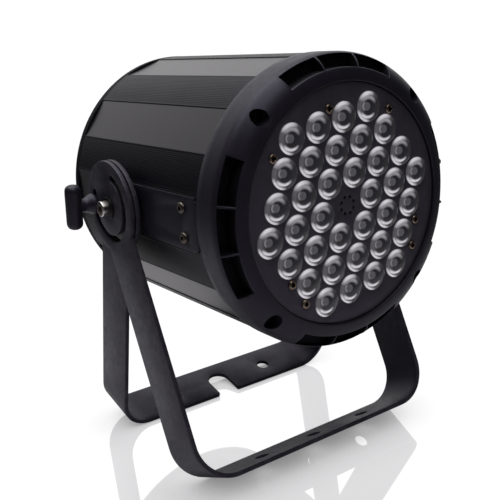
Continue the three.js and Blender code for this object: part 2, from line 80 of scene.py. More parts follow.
# ---------------------------------------------------------------- frames, from the CAD
CAN_AXIS = Vector(JOINTS["fan_spin"]["axis"])
CAN_TURN = Matrix.Rotation(math.atan2(CAN_AXIS.z, CAN_AXIS.y), 4, "X")
PIVOT = Vector(JOINTS["outer_yoke_tilt"]["pos_m"])
TO_PIVOT = Matrix.Translation(PIVOT)
MM = Matrix.Scale(0.001, 4)


def extent(node, turn):
    """The low and high corners of a node in a turned frame about the pivot, in mm."""
    inverse = (TO_PIVOT @ turn).inverted()
    pts = [inverse @ v.co for v in NODES[node].data.vertices]
    return ([1000 * min(p[k] for p in pts) for k in range(3)],
            [1000 * max(p[k] for p in pts) for k in range(3)])


LENS_PLANE = extent("face_plate", CAN_TURN)[0][1] + 2.4  # along the can axis from the pivot
CAN_FRAME = TO_PIVOT @ CAN_TURN @ Matrix.Translation((0, LENS_PLANE / 1000, 0)) @ MM
CAN_INVERSE = CAN_FRAME.inverted()
PIVOT_Y = -LENS_PLANE


def yoke_turn(mount):
    """The turn that lays -Z along the axis of a yoke's base mount."""
    axis = MOUNTS[mount]["axis"]
    return Matrix.Rotation(math.atan2(axis[1], -axis[2]), 4, "X")


def can_box(node):
    """The low and high corners of a node in the can frame."""
    lo, hi = extent(node, CAN_TURN)
    return [lo[0], lo[1] - LENS_PLANE, lo[2]], [hi[0], hi[1] - LENS_PLANE, hi[2]]


def span(node, axis):
    lo, hi = can_box(node)
    k = "xyz".index(axis)
    return lo[k], hi[k]


def x_reach(node):
    """The nearest and farthest distance of a side part from the can's middle."""
    return sorted(abs(x) for x in span(node, "x"))


def middle(node):
    """The x and z of a node's centre in the can frame."""
    lo, hi = can_box(node)
    return (lo[0] + hi[0]) / 2, (lo[2] + hi[2]) / 2


BEZEL_R = span("front_bezel", "x")[1]
BEZEL_FRONT, BEZEL_BACK = span("front_bezel", "y")
COVER_FRONT, COVER_BACK = span("rear_cover", "y")
DIAGONALS = [(math.cos(a * DEG), math.sin(a * DEG)) for a in (45, 135, 225, 315)]


# ---------------------------------------------------------------- outlines in the plane
def fillet(pts, radius, steps=3, closed=False):
    """Rounds each corner of a polyline."""
    out, n = [], len(pts)
    for i, p in enumerate(pts):
        if not closed and i in (0, n - 1):
            out.append(tuple(p))
            continue
        corner = Vector(p)
        back, ahead = Vector(pts[i - 1]) - corner, Vector(pts[(i + 1) % n]) - corner
        back_length, ahead_length = back.length, ahead.length
        back, ahead = back / back_length, ahead / ahead_length
        angle = math.acos(back.dot(ahead))
        cut = min(radius / math.tan(angle / 2), 0.45 * back_length, 0.45 * ahead_length)
        arc_r = cut * math.tan(angle / 2)
        centre = corner + (back + ahead).normalized() * (arc_r / math.sin(angle / 2))
        start, end = corner + back * cut - centre, corner + ahead * cut - centre
        sweep = start.angle(end)
        sign = 1 if (start.x * end.y - start.y * end.x) > 0 else -1
        for k in range(steps + 1):
            t = sign * sweep * k / steps
            out.append((centre.x + start.x * math.cos(t) - start.y * math.sin(t),
                        centre.y + start.x * math.sin(t) + start.y * math.cos(t)))
    return out


def circle(radius, steps, x=0.0, z=0.0):
    return [(x + radius * math.cos(2 * math.pi * k / steps),
             z + radius * math.sin(2 * math.pi * k / steps)) for k in range(steps)]


def corners(x0, x1, z0, z1):
    return [(x0, z0), (x1, z0), (x1, z1), (x0, z1)]


def rounded_rect(x, z, width, height, radius, steps=3):
    box = corners(x - width / 2, x + width / 2, z - height / 2, z + height / 2)
    return fillet(box, radius, steps, closed=True)


def keyhole(x, z, radius, half_width, top):
    """A round hole with a slot above it for the release tab."""
    steps = 46
    lean = math.asin(half_width / radius)
    start, end = math.pi / 2 + lean, 2.5 * math.pi - lean
    turns = [start + (end - start) * k / steps for k in range(steps + 1)]
    arc = [(x + radius * math.cos(t), z + radius * math.sin(t)) for t in turns]
    return arc + [(x + half_width, z + top), (x - half_width, z + top)]


def area2(loop):
    """Twice the signed area of a loop, positive when it runs counter-clockwise."""
    return sum(loop[i - 1][0] * loop[i][1] - loop[i][0] * loop[i - 1][1]
               for i in range(len(loop)))


def offset(loop, distance):
    """Moves each point to the left of travel."""
    out, n = [], len(loop)
    for i in range(n):
        before, here, after = Vector(loop[i - 1]), Vector(loop[i]), Vector(loop[(i + 1) % n])
        u, w = (here - before).normalized(), (after - here).normalized()
        normal = Vector((-u.y, u.x))
        mitre = normal + Vector((-w.y, w.x))
        if mitre.length > 1e-6:
            mitre = mitre / max(mitre.length_squared / 2, 0.35)
        else:
            mitre = normal
        out.append((here.x + mitre.x * distance, here.y + mitre.y * distance))
    return out


def inside(x, y, loop):
    found = False
    for i in range(len(loop)):
        xi, yi = loop[i]
        xj, yj = loop[i - 1]
        if (yi > y) != (yj > y) and x < (xj - xi) * (y - yi) / (yj - yi) + xi:
            found = not found
    return found


def densify(loop, step):
    """Splits each side of a loop into pieces no longer than step."""
    out, n = [], len(loop)
    for i in range(n):
        a, b = Vector(loop[i]), Vector(loop[(i + 1) % n])
        pieces = max(1, int(math.ceil((b - a).length / step)))
        out += [tuple(a.lerp(b, j / pieces)) for j in range(pieces)]
    return out


# ---------------------------------------------------------------- meshes, as (vertices, faces)
def join(*meshes):
    verts, faces = [], []
    for more_verts, more_faces in meshes:
        start = len(verts)
        verts += more_verts
        faces += [[i + start for i in face] for face in more_faces]
    return verts, faces


def mapped(mesh, move):
    return [move(*p) for p in mesh[0]], mesh[1]


def band(a, b):
    """Quads between two closed rings of vertex indices."""
    n = len(a)
    return [[a[k], a[(k + 1) % n], b[(k + 1) % n], b[k]] for k in range(n)]


def rings(ring_list, loop=False):
    """A skin over rings of equal length. A ring of one point is a pole.
    Open ends are capped, and loop joins the last ring to the first."""
    verts, index = [], []
    for ring in ring_list:
        index.append(list(range(len(verts), len(verts) + len(ring))))
        verts += ring
    faces = []
    for a, b in list(zip(index, index[1:])) + ([(index[-1], index[0])] if loop else []):
        n = max(len(a), len(b))
        if len(a) == 1:
            faces += [[a[0], b[k], b[(k + 1) % n]] for k in range(n)]
        elif len(b) == 1:
            faces += [[a[k], a[(k + 1) % n], b[0]] for k in range(n)]
        else:
            faces += band(a, b)
    if not loop:
        faces += [list(end) for end in (index[0], index[-1]) if len(end) > 2]
    return verts, faces


def lathe(profile, steps=48, centre=(0, 0, 0), axis="y", sign=1, loop=False, reshape=None,
          turn=0.0):
    """Turns (radius, height) about an axis. sign points the height along +x or -x.
    reshape gives a new radius for a profile row, radius, step and angle."""
    def place(a, b, h):
        if axis == "y":
            return (centre[0] + a, centre[1] + h, centre[2] + b)
        if axis == "x":
            return (centre[0] + sign * h, centre[1] + a, centre[2] + b)
        return (centre[0] + a, centre[1] + b, centre[2] + h)

    ring_list = []
    for row, (radius, h) in enumerate(profile):
        if radius < 1e-6:
            ring_list.append([place(0, 0, h)])
            continue
        ring = []
        for k in range(steps):
            t = 2 * math.pi * k / steps
            r = reshape(row, radius, k, t) if reshape else radius
            ring.append(place(r * math.cos(t + turn), r * math.sin(t + turn), h))
        ring_list.append(ring)
    return rings(ring_list, loop=loop)


def hexagon_at(*rows):
    """A reshape for lathe that makes the given profile rows hexagons around their circle."""
    def reshape(row, radius, step, angle):
        if row not in rows:
            return radius
        return radius / math.cos((angle + math.pi / 6) % (math.pi / 3) - math.pi / 6)
    return reshape


def tube(path, radius, steps=12):
    """A round wire along 3-D points, with flat ends."""
    pts = [Vector(p) for p in path]
    ring_list = []
    aside = Vector((0.0, 0.31, 0.95))
    for i, p in enumerate(pts):
        along = (pts[min(i + 1, len(pts) - 1)] - pts[max(i - 1, 0)]).normalized()
        u = along.cross(aside).normalized()
        w = along.cross(u).normalized()
        turns = [2 * math.pi * k / steps for k in range(steps)]
        ring_list.append([tuple(p + radius * (math.cos(t) * u + math.sin(t) * w))
                          for t in turns])
    return rings(ring_list)


def rounded_side(edge, low, high):
    """The (inset, height) rows of a plate's side wall with rounded edges."""
    arcs = [math.pi / 2 * k / 2 for k in (1, 2)]
    rows = [(edge * (1 - math.sin(a)), high - edge * (1 - math.cos(a))) for a in arcs]
    return rows + [(edge * (1 - math.sin(a)), low + edge * (1 - math.cos(a)))
                   for a in reversed(arcs)]


def plate(outer, holes, low, high, edge=0.4, hole_edge=None, rim=None, extra=()):
    """A plate with holes and rounded edges, as (a, b, height) points.
    rim replaces the outer side wall by (outset, height) rows. extra adds points to its faces."""
    loops = [outer if area2(outer) > 0 else outer[::-1]]
    loops += [hole if area2(hole) < 0 else hole[::-1] for hole in holes]
    insets = [edge] + [edge if hole_edge is None else hole_edge] * len(holes)
    caps = [offset(loop, 0 if rim and i == 0 else insets[i]) for i, loop in enumerate(loops)]
    pts, edges = [], []
    for cap in caps:
        n = len(pts)
        pts += [Vector(p) for p in cap]
        edges += [(n + k, n + (k + 1) % len(cap)) for k in range(len(cap))]
    pts += [Vector(p) for p in extra]
    flat, _, flat_faces, origins, _, _ = delaunay_2d_cdt(pts, edges, [], 0, 1e-5)
    source = [o[0] if o else -1 for o in origins]
    if -1 in source:
        raise ValueError("plate outline crosses itself")
    tris = []
    for tri in flat_faces:
        x = sum(flat[i][0] for i in tri) / 3
        y = sum(flat[i][1] for i in tri) / 3
        if not inside(x, y, caps[0]):
            continue
        # The cheap test on x spares most of the slow ones.
        if any(min(q[0] for q in hole) < x < max(q[0] for q in hole) and inside(x, y, hole)
               for hole in caps[1:]):
            continue
        tris.append([source[i] for i in tri])
    m = len(pts)
    verts = [(p[0], p[1], high) for p in pts] + [(p[0], p[1], low) for p in pts]
    faces = tris + [[i + m for i in tri][::-1] for tri in tris]
    start = 0
    for i, loop in enumerate(loops):
        n = len(loop)
        if rim and i == 0:
            side = [(-out, h) for out, h in rim]
        else:
            side = rounded_side(insets[i], low, high)
        previous = list(range(start, start + n))
        for inset, h in side:
            row = offset(loop, inset) if abs(inset) > 1e-9 else loop
            current = list(range(len(verts), len(verts) + n))
            verts += [(p[0], p[1], h) for p in row]
            faces += band(previous, current)
            previous = current
        faces += band(previous, list(range(start + m, start + m + n)))
        start += n
    return verts, faces


def xz_plate(*args, **options):
    """A plate that lies across the can axis, with its heights along y."""
    return mapped(plate(*args, **options), lambda a, b, h: (a, h, b))


def slab(lo, hi, radius, edge):
    """A box between two corners, with its corners rounded as seen along y."""
    outline = fillet(corners(lo[0], hi[0], lo[2], hi[2]), radius, 4, closed=True)
    return xz_plate(outline, [], lo[1], hi[1], edge=edge)


# ---------------------------------------------------------------- objects
def finish_mesh(ob, mat, angle=35):
    mesh = ob.data
    mesh.materials.clear()
    mesh.materials.append(mat)
    mesh.polygons.foreach_set("use_smooth", [True] * len(mesh.polygons))
    mesh.set_sharp_from_angle(angle=angle * DEG)
    mesh.update()


def loose(name, mesh, mat, place=CAN_FRAME, angle=35):
    data = bpy.data.meshes.new(name)
    data.from_pydata(mesh[0], [], mesh[1])
    data.transform(place)
    bm = bmesh.new()
    bm.from_mesh(data)
    bmesh.ops.remove_doubles(bm, verts=bm.verts, dist=1e-7)
    bmesh.ops.recalc_face_normals(bm, faces=bm.faces)
    bm.to_mesh(data)
    bm.free()
    ob = bpy.data.objects.new(name, data)
    bpy.context.scene.collection.objects.link(ob)
    finish_mesh(ob, mat, angle)
    return ob


def register(ob, replaced=None, body="can"):
    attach(ob, body)
    if replaced:
        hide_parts(replaced)


def part(name, mesh, mat, replaced=None, body="can", place=CAN_FRAME, angle=35):
    ob = loose(name, mesh, mat, place, angle)
    register(ob, replaced, body)
    return ob


def boolean(ob, tool, operation="DIFFERENCE"):
    """Applies an exact boolean, then removes the tool."""
    modifier = ob.modifiers.new("b", "BOOLEAN")
    modifier.operation, modifier.solver, modifier.object = operation, "EXACT", tool
    depsgraph = bpy.context.evaluated_depsgraph_get()
    result = bpy.data.meshes.new_from_object(ob.evaluated_get(depsgraph))
    ob.modifiers.clear()
    before = ob.data
    ob.data = result
    bpy.data.meshes.remove(before)
    bpy.data.objects.remove(tool)


def paint(ob, mat, wanted):
    """Gives a second material to the faces whose centre, in the can frame, is wanted."""
    ob.data.materials.append(mat)
    index = len(ob.data.materials) - 1
    for face in ob.data.polygons:
        if wanted(CAN_INVERSE @ face.center):
            face.material_index = index


# ---------------------------------------------------------------- shader tools
class Shader:
    """A node tree, with short ways to add nodes. Inputs take a value or another socket."""

    def __init__(self, tree):
        self.tree = tree
        tree.nodes.clear()

    def put(self, socket, source):
        if isinstance(source, bpy.types.NodeSocket):
            self.tree.links.new(source, socket)
        elif socket.type == "RGBA":
            socket.default_value = (*source, 1)
        else:
            socket.default_value = source

    def node(self, kind, inputs=None, **settings):
        node = self.tree.nodes.new("ShaderNode" + kind)
        for key, value in settings.items():
            setattr(node, key, value)
        for key, source in (inputs or {}).items():
            self.put(node.inputs[key], source)
        return node

    def coords(self):
        return self.node("TexCoord").outputs["Object"]

    def math(self, operation, a, b, clamp=False):
        return self.node("Math", {0: a, 1: b}, operation=operation, use_clamp=clamp).outputs[0]

    def add(self, a, b):
        return self.math("ADD", a, b)

    def mul(self, a, b, clamp=False):
        return self.math("MULTIPLY", a, b, clamp)

    def swing(self, field, amount):
        """Centres a 0 to 1 field on zero and scales it."""
        return self.mul(self.math("SUBTRACT", field, 0.5), amount)

    def vector(self, operation, *inputs):
        return self.node("VectorMath", dict(enumerate(inputs)),
                         operation=operation).outputs["Value"]

    def noise(self, coord, scale, detail, rough):
        return self.node("TexNoise", {"Scale": scale, "Detail": detail, "Roughness": rough,
                                      "Vector": coord}).outputs["Fac"]

    def ramp(self, source, stops):
        """A colour ramp through (position, colour) stops. A single number is a grey."""
        node = self.node("ValToRGB", {0: source})
        elements = node.color_ramp.elements
        while len(elements) > 1:
            elements.remove(elements[-1])
        for i, (position, colour) in enumerate(stops):
            element = elements.new(position) if i else elements[0]
            element.position = position
            element.color = (*(colour if isinstance(colour, tuple) else (colour,) * 3), 1)
        return node.outputs[0]

    def fade(self, source, low, high):
        """Black up to low, white from high."""
        return self.ramp(source, [(low, 0), (high, 1)])

    def mix(self, factor, a, b, blend="MIX"):
        return self.node("Mix", {0: factor, 6: a, 7: b}, data_type="RGBA",
                         blend_type=blend).outputs[2]

    def bump(self, bsdf, height, strength, depth):
        node = self.node("Bump", {"Strength": strength, "Distance": depth, "Height": height})
        self.put(bsdf.inputs["Normal"], node.outputs[0])


def new_material(name):
    """A material with a Principled shader: (material, Shader, principled, output)."""
    mat = bpy.data.materials.new(name)
    mat.use_nodes = True
    sh = Shader(mat.node_tree)
    out = sh.node("OutputMaterial")
    bsdf = sh.node("BsdfPrincipled")
    sh.put(out.inputs[0], bsdf.outputs[0])
    return mat, sh, bsdf, out


# ---------------------------------------------------------------- coated surfaces
def coated(name, base, rough, *, mottle, metallic=0.0, grain=2600, bump=0.25,
           bump_depth=0.00006, wear=0.0, wear_colour=None, streak=None, streak_rough=0.0,
           spec=0.5, coat=0.0, dust=0.0, tint=(1.0, 1.0, 1.0), rough_spread=1.0):
    """A painted, coated or metal surface.
    mottle: share by which the colour varies; grain: noise scale of the bump;
    wear: strength of rubbed edges; streak: noise scale along the can's x, y and z;
    streak_rough: roughness swing of the streaks; dust: strength of specks that face up."""
    mat, sh, bsdf, _ = new_material(name)
    coord = sh.coords()
    big = sh.noise(coord, scale=22, detail=4, rough=0.6)
    mid = sh.noise(coord, scale=240, detail=3, rough=0.55)
    fine = sh.noise(coord, scale=grain, detail=2, rough=0.6)
    dark = tuple(c * (1 - mottle) for c in base)
    light = tuple(min(1, c * (1 + mottle)) for c in base)
    colour = sh.mix(sh.fade(big, 0.3, 0.7), dark, light)
    colour = sh.mix(sh.mul(sh.fade(mid, 0.45, 0.75), 0.35), colour, light)
    roughness = sh.add(sh.swing(mid, 0.22 * rough_spread), rough)
    roughness = sh.add(sh.swing(big, 0.16 * rough_spread), roughness)
    height = fine
    if streak:
        stretched = sh.node("Mapping", {"Rotation": CAN_TURN.to_euler(),
                                        "Scale": [1 / k for k in streak], "Vector": coord},
                            vector_type="TEXTURE").outputs[0]
        lines = sh.noise(stretched, scale=1.0, detail=3, rough=0.6)
        roughness = sh.add(sh.swing(lines, streak_rough), roughness)
        height = sh.add(sh.mul(fine, 0.45), sh.mul(lines, 0.6))
        colour = sh.mix(sh.mul(sh.fade(lines, 0.4, 0.7), 0.25), colour, light)
    if wear:
        edge = sh.fade(sh.node("NewGeometry").outputs["Pointiness"], 0.515, 0.60)
        patch = sh.fade(sh.noise(coord, scale=90, detail=4, rough=0.7), 0.42, 0.62)
        worn = sh.mul(sh.mul(edge, patch), wear)
        colour = sh.mix(worn, colour, wear_colour or tuple(min(1, c * 4 + 0.06) for c in base))
        # Rubbed edges are smoother.
        roughness = sh.math("SUBTRACT", roughness, sh.mul(worn, 0.12))
    if dust:
        normal = sh.node("NewGeometry").outputs["Normal"]
        up = sh.fade(sh.node("SeparateXYZ", {0: normal}).outputs["Z"], 0.35, 1.0)
        speck = sh.fade(sh.noise(coord, scale=700, detail=5, rough=0.7), 0.48, 0.66)
        colour = sh.mix(sh.mul(sh.mul(up, speck), dust), colour, (0.34, 0.33, 0.32))
    clamped = sh.node("Clamp", {"Min": 0.04, "Max": 0.95, 0: roughness}).outputs[0]
    for key, source in {"Metallic": metallic, "Specular IOR Level": spec, "Specular Tint": tint,
                        "Coat Weight": coat, "Base Color": colour,
                        "Roughness": clamped}.items():
        sh.put(bsdf.inputs[key], source)
    sh.bump(bsdf, height, bump, bump_depth)
    return mat


COOL = (0.98, 0.92, 1.18)  # specular tint of the black finishes
MAT = {
    # painted and moulded blacks
    "bezel": coated("bezel_powder_coat", (0.0100, 0.0087, 0.0136), 0.44, grain=1900, bump=0.28,
                    bump_depth=0.00007, mottle=0.15, wear=0.10, dust=0.02, spec=0.28,
                    tint=COOL),
    # painted shade: a near-black copy of the bezel finish, for the pocket floors and walls and
    # the face screws' sockets
    "pocket": coated("bezel_pocket_shade", (0.0022, 0.0020, 0.0026), 0.60, grain=1900,
                     bump=0.28, bump_depth=0.00007, mottle=0.2, spec=0.12, tint=COOL),
    "plate": coated("face_plate_coat", (0.0275, 0.0250, 0.0330), 0.50, grain=2400, mottle=0.2,
                    wear=0.08, spec=0.4, tint=COOL),
    "flat": coated("anodised_extrusion", (0.013, 0.0120, 0.0132), 0.30, metallic=0.10,
                   spec=0.60, tint=(1.0, 0.93, 1.0), bump=0.02, mottle=0.06, rough_spread=0.15,
                   streak=(900, 3, 900), streak_rough=0.03),
    # A darker copy of the extrusion finish: its colour is painted shade among the fine ribs, its
    # low specular level stands for their scatter.
    "rib_band_shade": coated("rib_band_painted_shade", (0.0040, 0.0034, 0.0056), 0.38, bump=0.05,
                     mottle=0.10, rough_spread=0.4, tint=COOL, streak=(900, 3, 900),
                     streak_rough=0.10, spec=0.10),
    "side": coated("side_plate_coat", (0.0110, 0.0098, 0.0150), 0.46, grain=2400, bump=0.22,
                   mottle=0.15, wear=0.08, spec=0.22, tint=COOL),
    "yoke": coated("yoke_powder_coat", (0.0165, 0.0145, 0.0212), 0.47, grain=2000, bump=0.28,
                   bump_depth=0.00007, mottle=0.10, wear=0.40, wear_colour=(0.14, 0.13, 0.14),
                   dust=0.02, spec=0.30, tint=COOL),
    "plastic": coated("moulded_plastic", (0.0112, 0.0098, 0.0148), 0.40, grain=3200,
                      mottle=0.15, wear=0.10, dust=0.02, spec=0.32, tint=COOL),
    "cover": coated("rear_cover_plastic", (0.0060, 0.0055, 0.0075), 0.52, grain=2200, bump=0.4,
                    bump_depth=0.0001, mottle=0.15, wear=0.04, spec=0.04, tint=COOL),
    # metals
    "steel": coated("zinc_plated_steel", (0.62, 0.60, 0.57), 0.28, metallic=1.0, bump=0.12,
                    mottle=0.14, streak=(400, 400, 400), streak_rough=0.12),
    "dark_steel": coated("dull_plated_steel", (0.34, 0.29, 0.24), 0.36, metallic=1.0,
                         bump=0.15, mottle=0.22, wear=0.3, wear_colour=(0.6, 0.57, 0.52)),
    "black_oxide": coated("black_oxide_screw", (0.012, 0.011, 0.012), 0.40, metallic=0.6,
                          bump=0.15, mottle=0.2, wear=0.1, wear_colour=(0.1, 0.095, 0.09)),
    "plate_screw": coated("plate_screw_plating", (0.105, 0.09, 0.078), 0.40, metallic=1.0,
                          bump=0.15, mottle=0.22, wear=0.3, wear_colour=(0.4, 0.37, 0.33)),
    # painted shade: a darker copy of the plated steel for the bolt head's side
    "bolt_side_shade": coated("bolt_head_side_painted_shade", (0.20, 0.19, 0.18), 0.30, metallic=1.0, bump=0.12,
                        mottle=0.15, wear=0.2, wear_colour=(0.5, 0.48, 0.46)),
    # the bolt socket, brown and darker than the top: partly its own tint, partly painted shade
    "bolt_socket_tint_and_shade": coated("bolt_socket_tint_and_shade", (0.30, 0.235, 0.19), 0.36, metallic=1.0, bump=0.12,
                          mottle=0.15),
    "copper": coated("copper_plated_screw", (0.24, 0.175, 0.135), 0.34, metallic=1.0,
                     bump=0.15, mottle=0.22, wear=0.35, wear_colour=(0.62, 0.52, 0.44)),
    "alu": coated("mill_aluminium", (0.60, 0.61, 0.63), 0.40, metallic=1.0, grain=1800,
                  bump=0.2, mottle=0.1, streak=(700, 5, 700), streak_rough=0.2),
    # boards and the display
    "pcb": coated("solder_mask_green", (0.02, 0.10, 0.045), 0.32, grain=1500, bump=0.2,
                  mottle=0.2),
    "pcb_white": coated("solder_mask_white", (0.70, 0.70, 0.68), 0.35, grain=1500, bump=0.15,
                        mottle=0.06),
    "window": coated("display_window", (0.006, 0.007, 0.01), 0.08, bump=0.03, mottle=0.2,
                     coat=0.6),
}

# ---------------------------------------------------------------- lens face
LENS_TILT = 25.0  # slope of a lens face at its rim, in degrees


def lens_face_material():
    """An opaque domed lens face. The look of a clear collimator is painted light: highlights and
    reflections are painted into its colour and glow through its emission. The dome's slope says
    how far out a point is, and the line of sight carries that point down to three depths: the
    rim, the bowl wall, and the emitter at the bottom. Distances are in lens radii."""
    mat, sh, bsdf, _ = new_material("lens_face_painted_light")
    can_x, can_front, can_z = ((CAN_FRAME.to_3x3() @ Vector(v)).normalized()
                               for v in ((1, 0, 0), (0, -1, 0), (0, 0, 1)))
    coord_node = sh.node("TexCoord")
    normal, coord = coord_node.outputs["Normal"], coord_node.outputs["Object"]
    incoming = sh.node("NewGeometry").outputs["Incoming"]
    sight = sh.node("VectorTransform", {0: incoming}, vector_type="VECTOR",
                    convert_from="WORLD", convert_to="OBJECT").outputs[0]

    def dot(a, b):
        return sh.vector("DOT_PRODUCT", a, b)

    ahead = sh.math("MAXIMUM", dot(sight, can_front), 0.25)
    slope_scale = 1 / math.sin(LENS_TILT * DEG)
    out_x = sh.mul(dot(normal, can_x), slope_scale)
    out_z = sh.mul(dot(normal, can_z), slope_scale)
    drift_x = sh.math("DIVIDE", dot(sight, can_x), ahead)
    drift_z = sh.math("DIVIDE", dot(sight, can_z), ahead)

    def layer(depth):
        """The position seen at a depth, and its distance from the lens axis."""
        place = sh.node("CombineXYZ", {
            0: sh.math("SUBTRACT", out_x, sh.mul(drift_x, depth)),
            1: sh.math("SUBTRACT", out_z, sh.mul(drift_z, depth))}).outputs[0]
        return place, sh.vector("LENGTH", place)

    def patch(level, ring, toward, side):
        """A painted highlight: ring is brightness over distance, toward its direction from the
        axis, and side the range of agreement with that direction over which it fades in."""
        place, distance = level
        direction = Vector((*toward, 0)).normalized()
        agree = sh.math("DIVIDE", dot(place, direction), sh.math("MAXIMUM", distance, 0.02))
        return sh.mul(sh.fade(agree, *side), sh.ramp(distance, ring))

    rim, wall, low = layer(depth=0.0), layer(depth=0.17), layer(depth=0.36)
    painted_glints = [  # painted glints: (brightness field, strength)
        (patch(rim, ring=[(0.64, 0), (0.82, 0.8), (0.92, 1), (1.0, 0.3)],
               toward=(-0.24, 1.0), side=(0.64, 1.0)), 0.90),
        (patch(rim, ring=[(0.50, 0.1), (0.80, 1), (0.95, 0.8), (1.0, 0.4)],
               toward=(-1.0, 0.35), side=(-0.25, 0.9)), 0.12),
        (patch(rim, ring=[(0.80, 0), (0.89, 0.9), (0.95, 1), (1.0, 0.4)],
               toward=(-0.66, -0.75), side=(0.70, 0.95)), 0.85),
        (patch(wall, ring=[(0.42, 0), (0.55, 0.9), (0.66, 1), (0.78, 0.25)],
               toward=(0.10, 1.0), side=(0.30, 0.85)), 0.36),
        (patch(wall, ring=[(0.54, 0), (0.66, 1), (0.74, 1), (0.82, 0)],
               toward=(-0.16, -1.0), side=(0.52, 0.90)), 0.85),
        (patch(low, ring=[(0.19, 0), (0.27, 1), (0.33, 0.6), (0.38, 0)],
               toward=(-1.0, 0.1), side=(0.25, 0.8)), 0.30),
        # the emitter, then the faint floor of the bowl around it, as painted brightness
        (sh.ramp(low[1], [(0.0, 0.085), (0.24, 0.10), (0.31, 0.012)]), 1.0),
        (sh.ramp(low[1], [(0.34, 0), (0.55, 0.012), (0.9, 0.020)]), 1.0),
    ]
    painted_brightness = 0.0
    for field, strength in painted_glints:
        painted_brightness = sh.math("MAXIMUM", sh.mul(field, strength), painted_brightness)
    cloud = sh.noise(coord, scale=150, detail=3, rough=0.5)
    painted_brightness = sh.mul(painted_brightness, sh.add(sh.mul(cloud, 0.5), 0.75), clamp=True)
    colour = sh.mix(painted_brightness, (0.010, 0.0092, 0.0125), (0.93, 0.90, 0.96))
    polish = sh.add(sh.mul(sh.noise(coord, scale=300, detail=2, rough=0.5), 0.06), 0.07)
    # The painted brightness is both the colour and the emission, so the lens glows, though it is
    # no lamp.
    for key, source in {"Base Color": colour, "Emission Color": colour,
                        "Emission Strength": 0.36, "Specular IOR Level": 0.45,
                        "Roughness": polish}.items():
        sh.put(bsdf.inputs[key], source)
    sh.bump(bsdf, sh.noise(coord, scale=90, detail=2, rough=0.5), strength=0.04,
            depth=0.00005)
    return mat


MAT["lens_face"] = lens_face_material()
MAT["phosphor"] = coated("led_phosphor", (0.34, 0.33, 0.34), 0.30, bump=0.1, mottle=0.12)

# ---------------------------------------------------------------- front bezel
SHOULDER_R, SHOULDER_BACK = 97.0, 13.0  # the elliptic shoulder's centre radius and back end
LIP_R, LIP_ROUND = 97.3, 0.9
POCKET_IN, POCKET_OUT, POCKET_FLOOR = 108.0, 118.3, 11.2  # two radii and the floor's y
POCKET_HALF, RIB_AT, RIB_WIDTH = 27.4, 9.1, 1.7  # degrees, degrees, mm
ROUND = 0.8  # rounding around each pocket
ROUND_STEPS = [0.0, 0.06, 0.25, 0.55, 1.0]
POCKET_MID_R = 113  # where widths turn into angles


def pocket_ranges():
    """The angle range of each pocket: four groups of three, parted by ribs."""
    half_rib = RIB_WIDTH / 2 / POCKET_MID_R / DEG
    ends = [-POCKET_HALF, -RIB_AT, RIB_AT, POCKET_HALF]
    return [(q * 90 + ends[k] + (half_rib if k else 0),
             q * 90 + ends[k + 1] - (half_rib if k < 2 else 0))
            for q in range(4) for k in range(3)]


POCKETS = pocket_ranges()


def shoulder(r):
    t = min(1.0, max(0.0, (r - SHOULDER_R) / (BEZEL_R - SHOULDER_R)))
    return SHOULDER_BACK - (SHOULDER_BACK - BEZEL_FRONT) * math.sqrt(max(0.0, 1 - t * t))


def bezel_y(r, t):
    """The y of the bezel's front surface at a radius and an angle in degrees."""
    nearest = 1e9
    for a, b in POCKETS:
        if a < t < b and POCKET_IN < r < POCKET_OUT:
            return POCKET_FLOOR
        across = max(a - t, t - b, 0) * DEG * r
        radial = max(POCKET_IN - r, r - POCKET_OUT, 0)
        nearest = min(nearest, math.hypot(across, radial))
    y = shoulder(r)
    if nearest < ROUND:
        y += ROUND - math.sqrt(max(0.0, ROUND ** 2 - (ROUND - nearest) ** 2))
    return y


def bezel_angles():
    """Angles in degrees, closer together at the pocket walls."""
    angles = set()
    for a, b in POCKETS:
        for s in ROUND_STEPS:
            angles.add(round(a - s * ROUND / POCKET_MID_R / DEG, 5))
            angles.add(round(b + s * ROUND / POCKET_MID_R / DEG, 5))
        for s in (0.02, 0.12):
            angles.add(round(a + s, 5))
            angles.add(round(b - s, 5))
        for k in range(1, 8):
            angles.add(round(a + 0.3 + (b - a - 0.6) * k / 8, 5))
    for k in range(180):
        t = k * 2.0 - 45
        if not any(a - 1 <= t <= b + 1 for a, b in POCKETS):
            angles.add(round(t, 5))
    angles = sorted(angles)
    spaced = [angles[0]]
    for t in angles[1:]:
        if t - spaced[-1] > 0.012:
            spaced.append(t)
    return spaced


